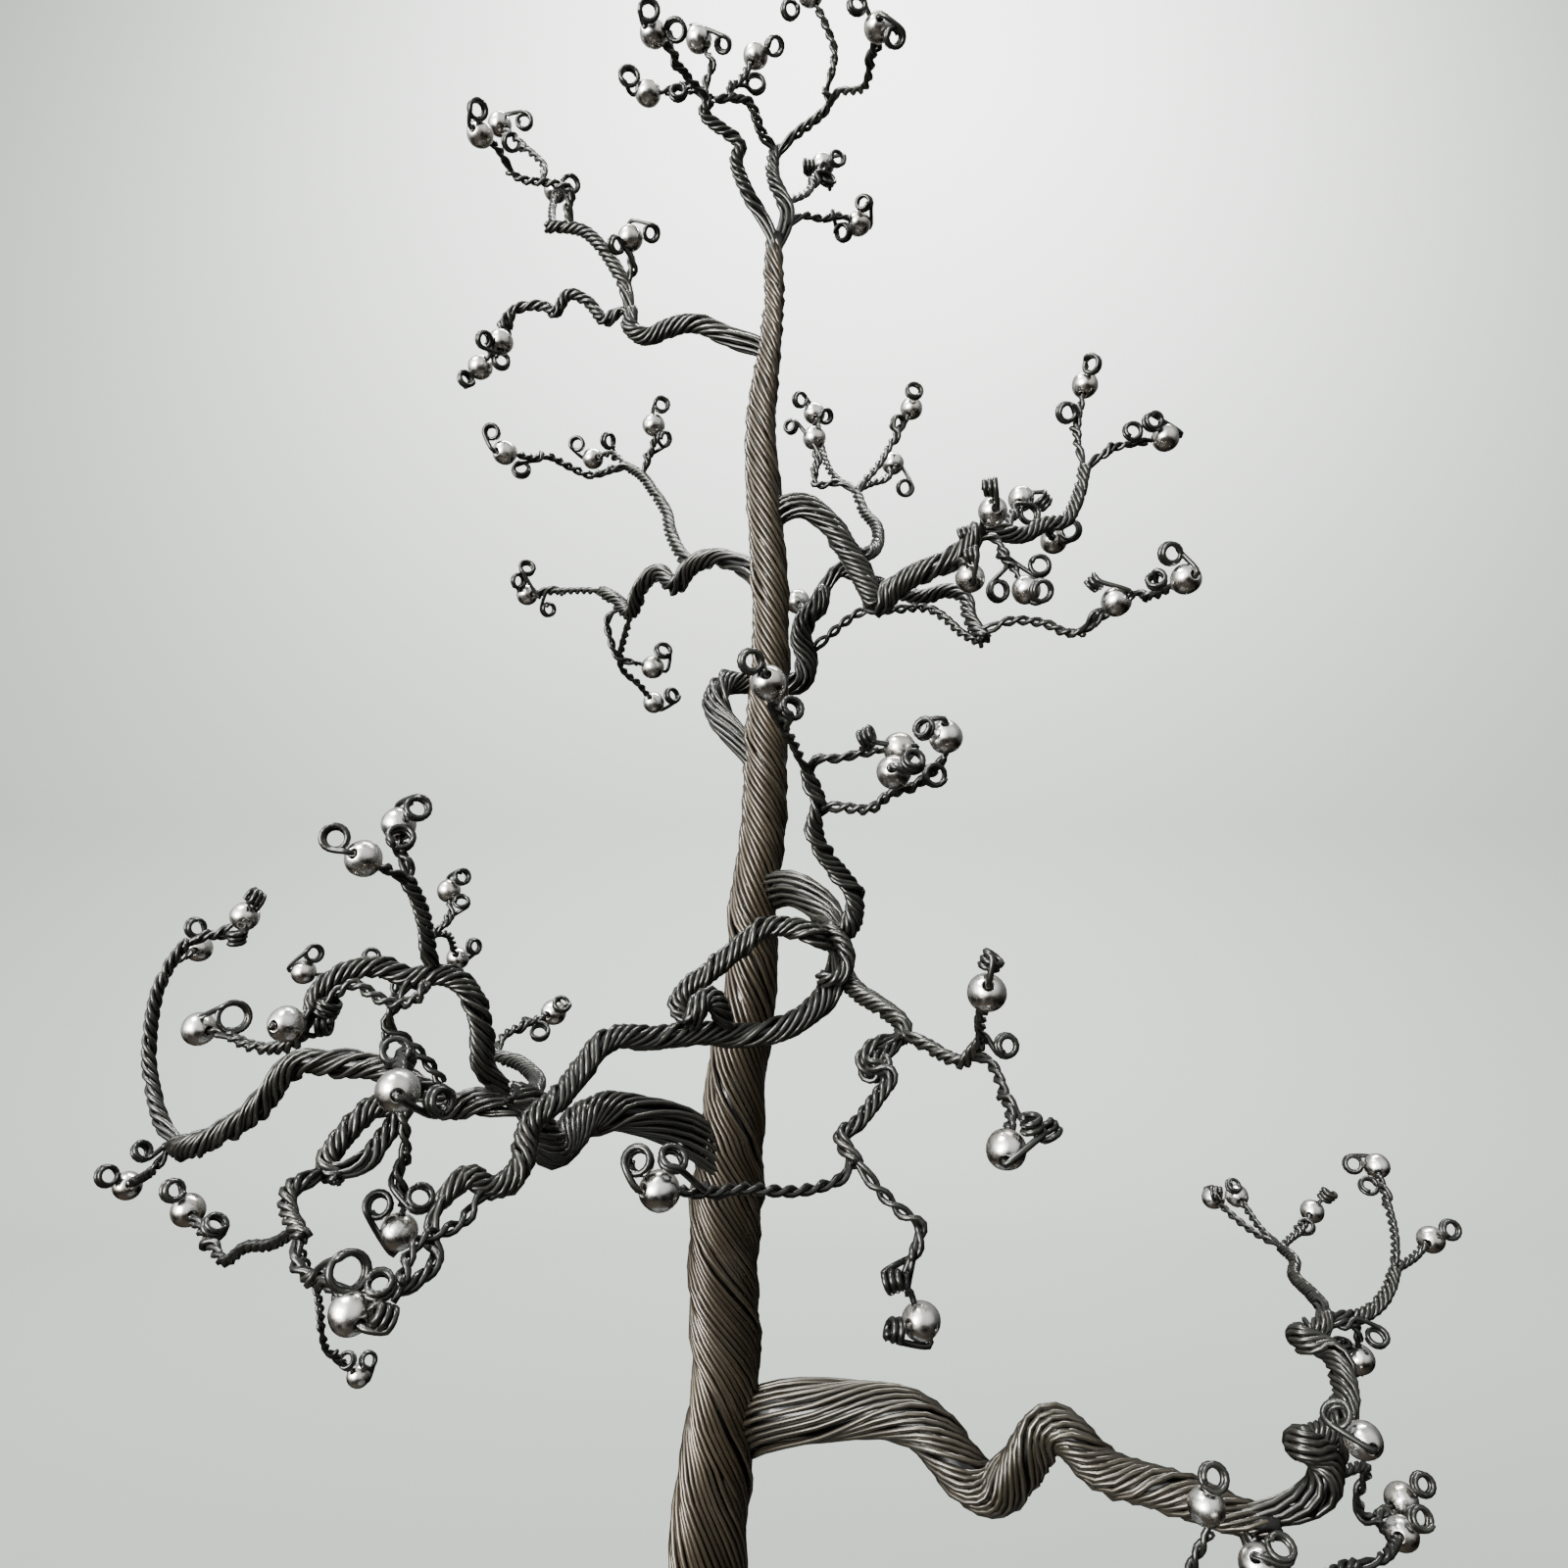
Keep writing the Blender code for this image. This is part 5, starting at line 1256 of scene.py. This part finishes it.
def curl_root(bundle, root, chance):
    """Two small flat coils at a root's tip, one on either side, lying on the plinth."""
    tip, way = root.line[-1], root.ways[-1] * [1, 1, 0]
    for side in (-1, 1):
        across = np.array([-way[1], way[0], 0]) * side
        level = PLINTH_HEIGHT + GAP + root.wire * 0.55
        centre = tip + way * chance.uniform(-1.0, 2.4) + across * chance.uniform(2.2, 2.9)
        centre[2] = level
        start = root.line[[-6, -4, -2]] + across * root.wire * 0.5
        start[:, 2] = level + root.wire * 0.4
        ring = coil(start[-1], unit(way), centre, np.array([0, 0, 1.0]), ROOT_COIL_RADIUS,
                    chance.uniform(1.2, 1.8), 0.1)
        bundle.add(smooth_line(np.vstack([start, ring]), TWIG_STEP), root.wire / 2, chance.uniform(0, 1), 0.8)


class WIRETREE_OT_twigs(bpy.types.Operator):
    """Twist every twig from its two wires, thread it and coil its ends"""

    bl_idname = "wire_tree.twigs"
    bl_label = "Twigs"

    def execute(self, context):
        wires = context.scene.wire_tree_wires
        ropes, routes = tree_ropes(wires)
        for limb, twigs in TWIGS.items():
            chance = np.random.default_rng(SEED + len(limb) + len(twigs))
            bundle = Bundle()
            for twig in twigs:
                twist_twig(bundle, twig, ropes, routes, wires, chance)
            for name, *_ in TURNS.get(limb, []):
                add_rope(bundle, ropes, name, chance)
            bundle.piece(f"{limb}_twigs", wire_finish(context))
        return {"FINISHED"}


class WIRETREE_OT_beads(bpy.types.Operator):
    """Turn every bead about its wire"""

    bl_idname = "wire_tree.beads"
    bl_label = "Beads"

    def execute(self, context):
        _, routes = tree_ropes(context.scene.wire_tree_wires)
        finish = silver_plate(context.scene.wire_tree_finishes)
        for limb, twigs in TWIGS.items():
            chance = np.random.default_rng(SEED + 3 * len(limb))
            places = [twig_points(routes, *twig[:3])[1:] for twig in twigs]
            piece = beads_piece(f"{limb}_beads", places, finish, chance)
            solids = sum(twig[2][2] >= SMALLEST_BEAD_SEEN for twig in twigs)
            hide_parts(*[f"{limb}_bead_{number}" for number in range(1, solids + 1)])
        return {"FINISHED"}


class WIRETREE_OT_plinth(bpy.types.Operator):
    """Turn the slate plinth"""

    bl_idname = "wire_tree.plinth"
    bl_label = "Plinth"

    def execute(self, context):
        piece = plinth_piece(riven_slate(context.scene.wire_tree_finishes))
        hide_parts("plinth")
        return {"FINISHED"}


class WIRETREE_OT_stage(bpy.types.Operator):
    """Set the pale backdrop, the lights and the camera"""

    bl_idname = "wire_tree.stage"
    bl_label = "Stage"

    def execute(self, context):
        backdrop = sweep()
        for name, lamp in LIGHTS.items():
            light(name, *lamp)
        room(context.scene)
        camera = bpy.data.cameras.new("camera")
        camera.lens = LENS
        camera.sensor_width = SENSOR
        camera.clip_start = 0.01
        thing = bpy.data.objects.new("camera", camera)
        context.scene.collection.objects.link(thing)
        thing.location = [part * MM for part in EYE]
        thing.rotation_euler = (math.pi / 2 + LOOK_UP, 0, 0)
        context.scene.camera = thing
        return {"FINISHED"}


def room(scene):
    """Soft light from all round, with a window in front on the left, and a dark band below the horizon.

    The tone follows the direction's height, shifted by noise so that its edges are ragged. The strength
    falls from the left to the right, rises by CEILING_LIGHT towards the top, and in the patches WINDOW,
    HIGH_WINDOW and FRONT. Shiny pieces mirror it, since the backdrop isn't mirrored.
    """
    world = bpy.data.worlds.new("studio")
    scene.world = world
    world.use_nodes = True
    tree = world.node_tree
    direction = add_node(tree, "ShaderNodeTexCoord").outputs["Generated"]
    parts = add_node(tree, "ShaderNodeSeparateXYZ", Vector=direction)
    ragged = add_node(tree, "ShaderNodeTexNoise", Vector=direction, Scale=3.0, Detail=3.0)
    shifted = add_node(tree, "ShaderNodeMath", {"operation": "MULTIPLY_ADD"},
                       {0: ragged.outputs["Fac"], 1: 0.5, 2: parts.outputs["Z"]})
    high = add_node(tree, "ShaderNodeMapRange", Value=shifted.outputs[0], From_Min=-0.75, From_Max=0.25)
    tones = [(0.0, "#7d756b"), (0.2, "#6a6158"), (0.4, "#17120f"), (0.66, "#211a16"), (0.84, "#8e8b85"),
             (1.0, "#dcdedd")]
    colour = ramp(tree, high.outputs[0], [(at, hex_colour(code)) for at, code in tones])
    background = tree.nodes["Background"]
    tree.links.new(colour, background.inputs["Color"])
    left = add_node(tree, "ShaderNodeMapRange", Value=parts.outputs["X"], From_Min=0.8, From_Max=-0.8,
                    To_Min=0.14, To_Max=0.48)
    ceiling = add_node(tree, "ShaderNodeMapRange", Value=parts.outputs["Z"], From_Min=0.1, From_Max=0.7,
                       To_Max=CEILING_LIGHT)
    patches = [left, ceiling]
    for aim, start, full, brightness in (WINDOW, HIGH_WINDOW, FRONT):
        facing = add_node(tree, "ShaderNodeVectorMath", {"operation": "DOT_PRODUCT"}, {0: direction, 1: aim})
        patches.append(add_node(tree, "ShaderNodeMapRange", Value=facing.outputs["Value"], From_Min=start,
                                From_Max=full, To_Max=brightness))
    strength = patches[0].outputs[0]
    for patch in patches[1:]:
        both = add_node(tree, "ShaderNodeMath", {"operation": "ADD"}, {0: strength, 1: patch.outputs[0]})
        strength = both.outputs[0]
    tree.links.new(strength, background.inputs["Strength"])


def sweep():
    """A pale floor that runs up into a wall behind the tree, through a quarter turn."""
    bend = np.linspace(0, math.pi / 2, 25)
    turn = SWEEP_RADIUS * np.column_stack([np.sin(bend) - 1, 1 - np.cos(bend)]) + [SWEEP_BACK, 0]
    outline = np.vstack([[[-SWEEP_HALF_WIDTH, 0]], turn, [[SWEEP_BACK, SWEEP_HEIGHT]]])
    wall = np.array([[[x, y, z] for y, z in outline] for x in (-SWEEP_HALF_WIDTH, SWEEP_HALF_WIDTH)])
    index = np.arange(2 * len(outline)).reshape(2, -1)
    quads = np.stack([index[0, :-1], index[1, :-1], index[1, 1:], index[0, 1:]], -1)
    mesh = mesh_of("backdrop", wall.reshape(-1, 3), [quads], smooth=1)
    finish, _, shader = new_finish("paper backdrop")
    shader.inputs["Base Color"].default_value = (*hex_colour("#7a7e7b"), 1)
    shader.inputs["Roughness"].default_value = 0.9
    mesh.materials.append(finish)
    thing = bpy.data.objects.new("backdrop", mesh)
    bpy.context.scene.collection.objects.link(thing)
    thing.visible_glossy = False
    return thing


def light(name, place, wide, energy, tint, target):
    """A square soft light that faces its target."""
    lamp = bpy.data.lights.new(name, "AREA")
    lamp.shape = "SQUARE"
    lamp.size = wide
    lamp.energy = energy
    lamp.color = tint
    thing = bpy.data.objects.new(name, lamp)
    bpy.context.scene.collection.objects.link(thing)
    thing.location = place
    aim = np.array(target) - np.array(place)
    flat = math.hypot(aim[0], aim[1])
    thing.rotation_euler = (math.atan2(flat, -aim[2]), 0, math.atan2(-aim[0], aim[1]))


class WIRETREE_PT_panel(bpy.types.Panel):
    """The tree's sizes, colours and pieces"""

    bl_idname = "WIRETREE_PT_panel"
    bl_label = "Wire tree"
    bl_space_type = "VIEW_3D"
    bl_region_type = "UI"
    bl_category = "Wire tree"

    def draw(self, context):
        for group in (context.scene.wire_tree_wires, context.scene.wire_tree_finishes):
            for key in type(group).__annotations__:
                self.layout.prop(group, key)
        for operator in OPERATORS:
            self.layout.operator(operator.bl_idname)


OPERATORS = (WIRETREE_OT_wirework, WIRETREE_OT_twigs, WIRETREE_OT_beads, WIRETREE_OT_plinth,
             WIRETREE_OT_stage)
CLASSES = (WireTreeWires, WireTreeFinishes, *OPERATORS, WIRETREE_PT_panel)


def register():
    for part in CLASSES:
        bpy.utils.register_class(part)
    bpy.types.Scene.wire_tree_wires = bpy.props.PointerProperty(type=WireTreeWires)
    bpy.types.Scene.wire_tree_finishes = bpy.props.PointerProperty(type=WireTreeFinishes)


def unregister():
    del bpy.types.Scene.wire_tree_finishes
    del bpy.types.Scene.wire_tree_wires
    for part in reversed(CLASSES):
        bpy.utils.unregister_class(part)


def main():
    """Make every piece."""
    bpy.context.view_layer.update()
    register()
    bpy.ops.wire_tree.wirework()
    bpy.ops.wire_tree.twigs()
    bpy.ops.wire_tree.beads()
    bpy.ops.wire_tree.plinth()
    bpy.ops.wire_tree.stage()


if __name__ == "__main__":
    main()
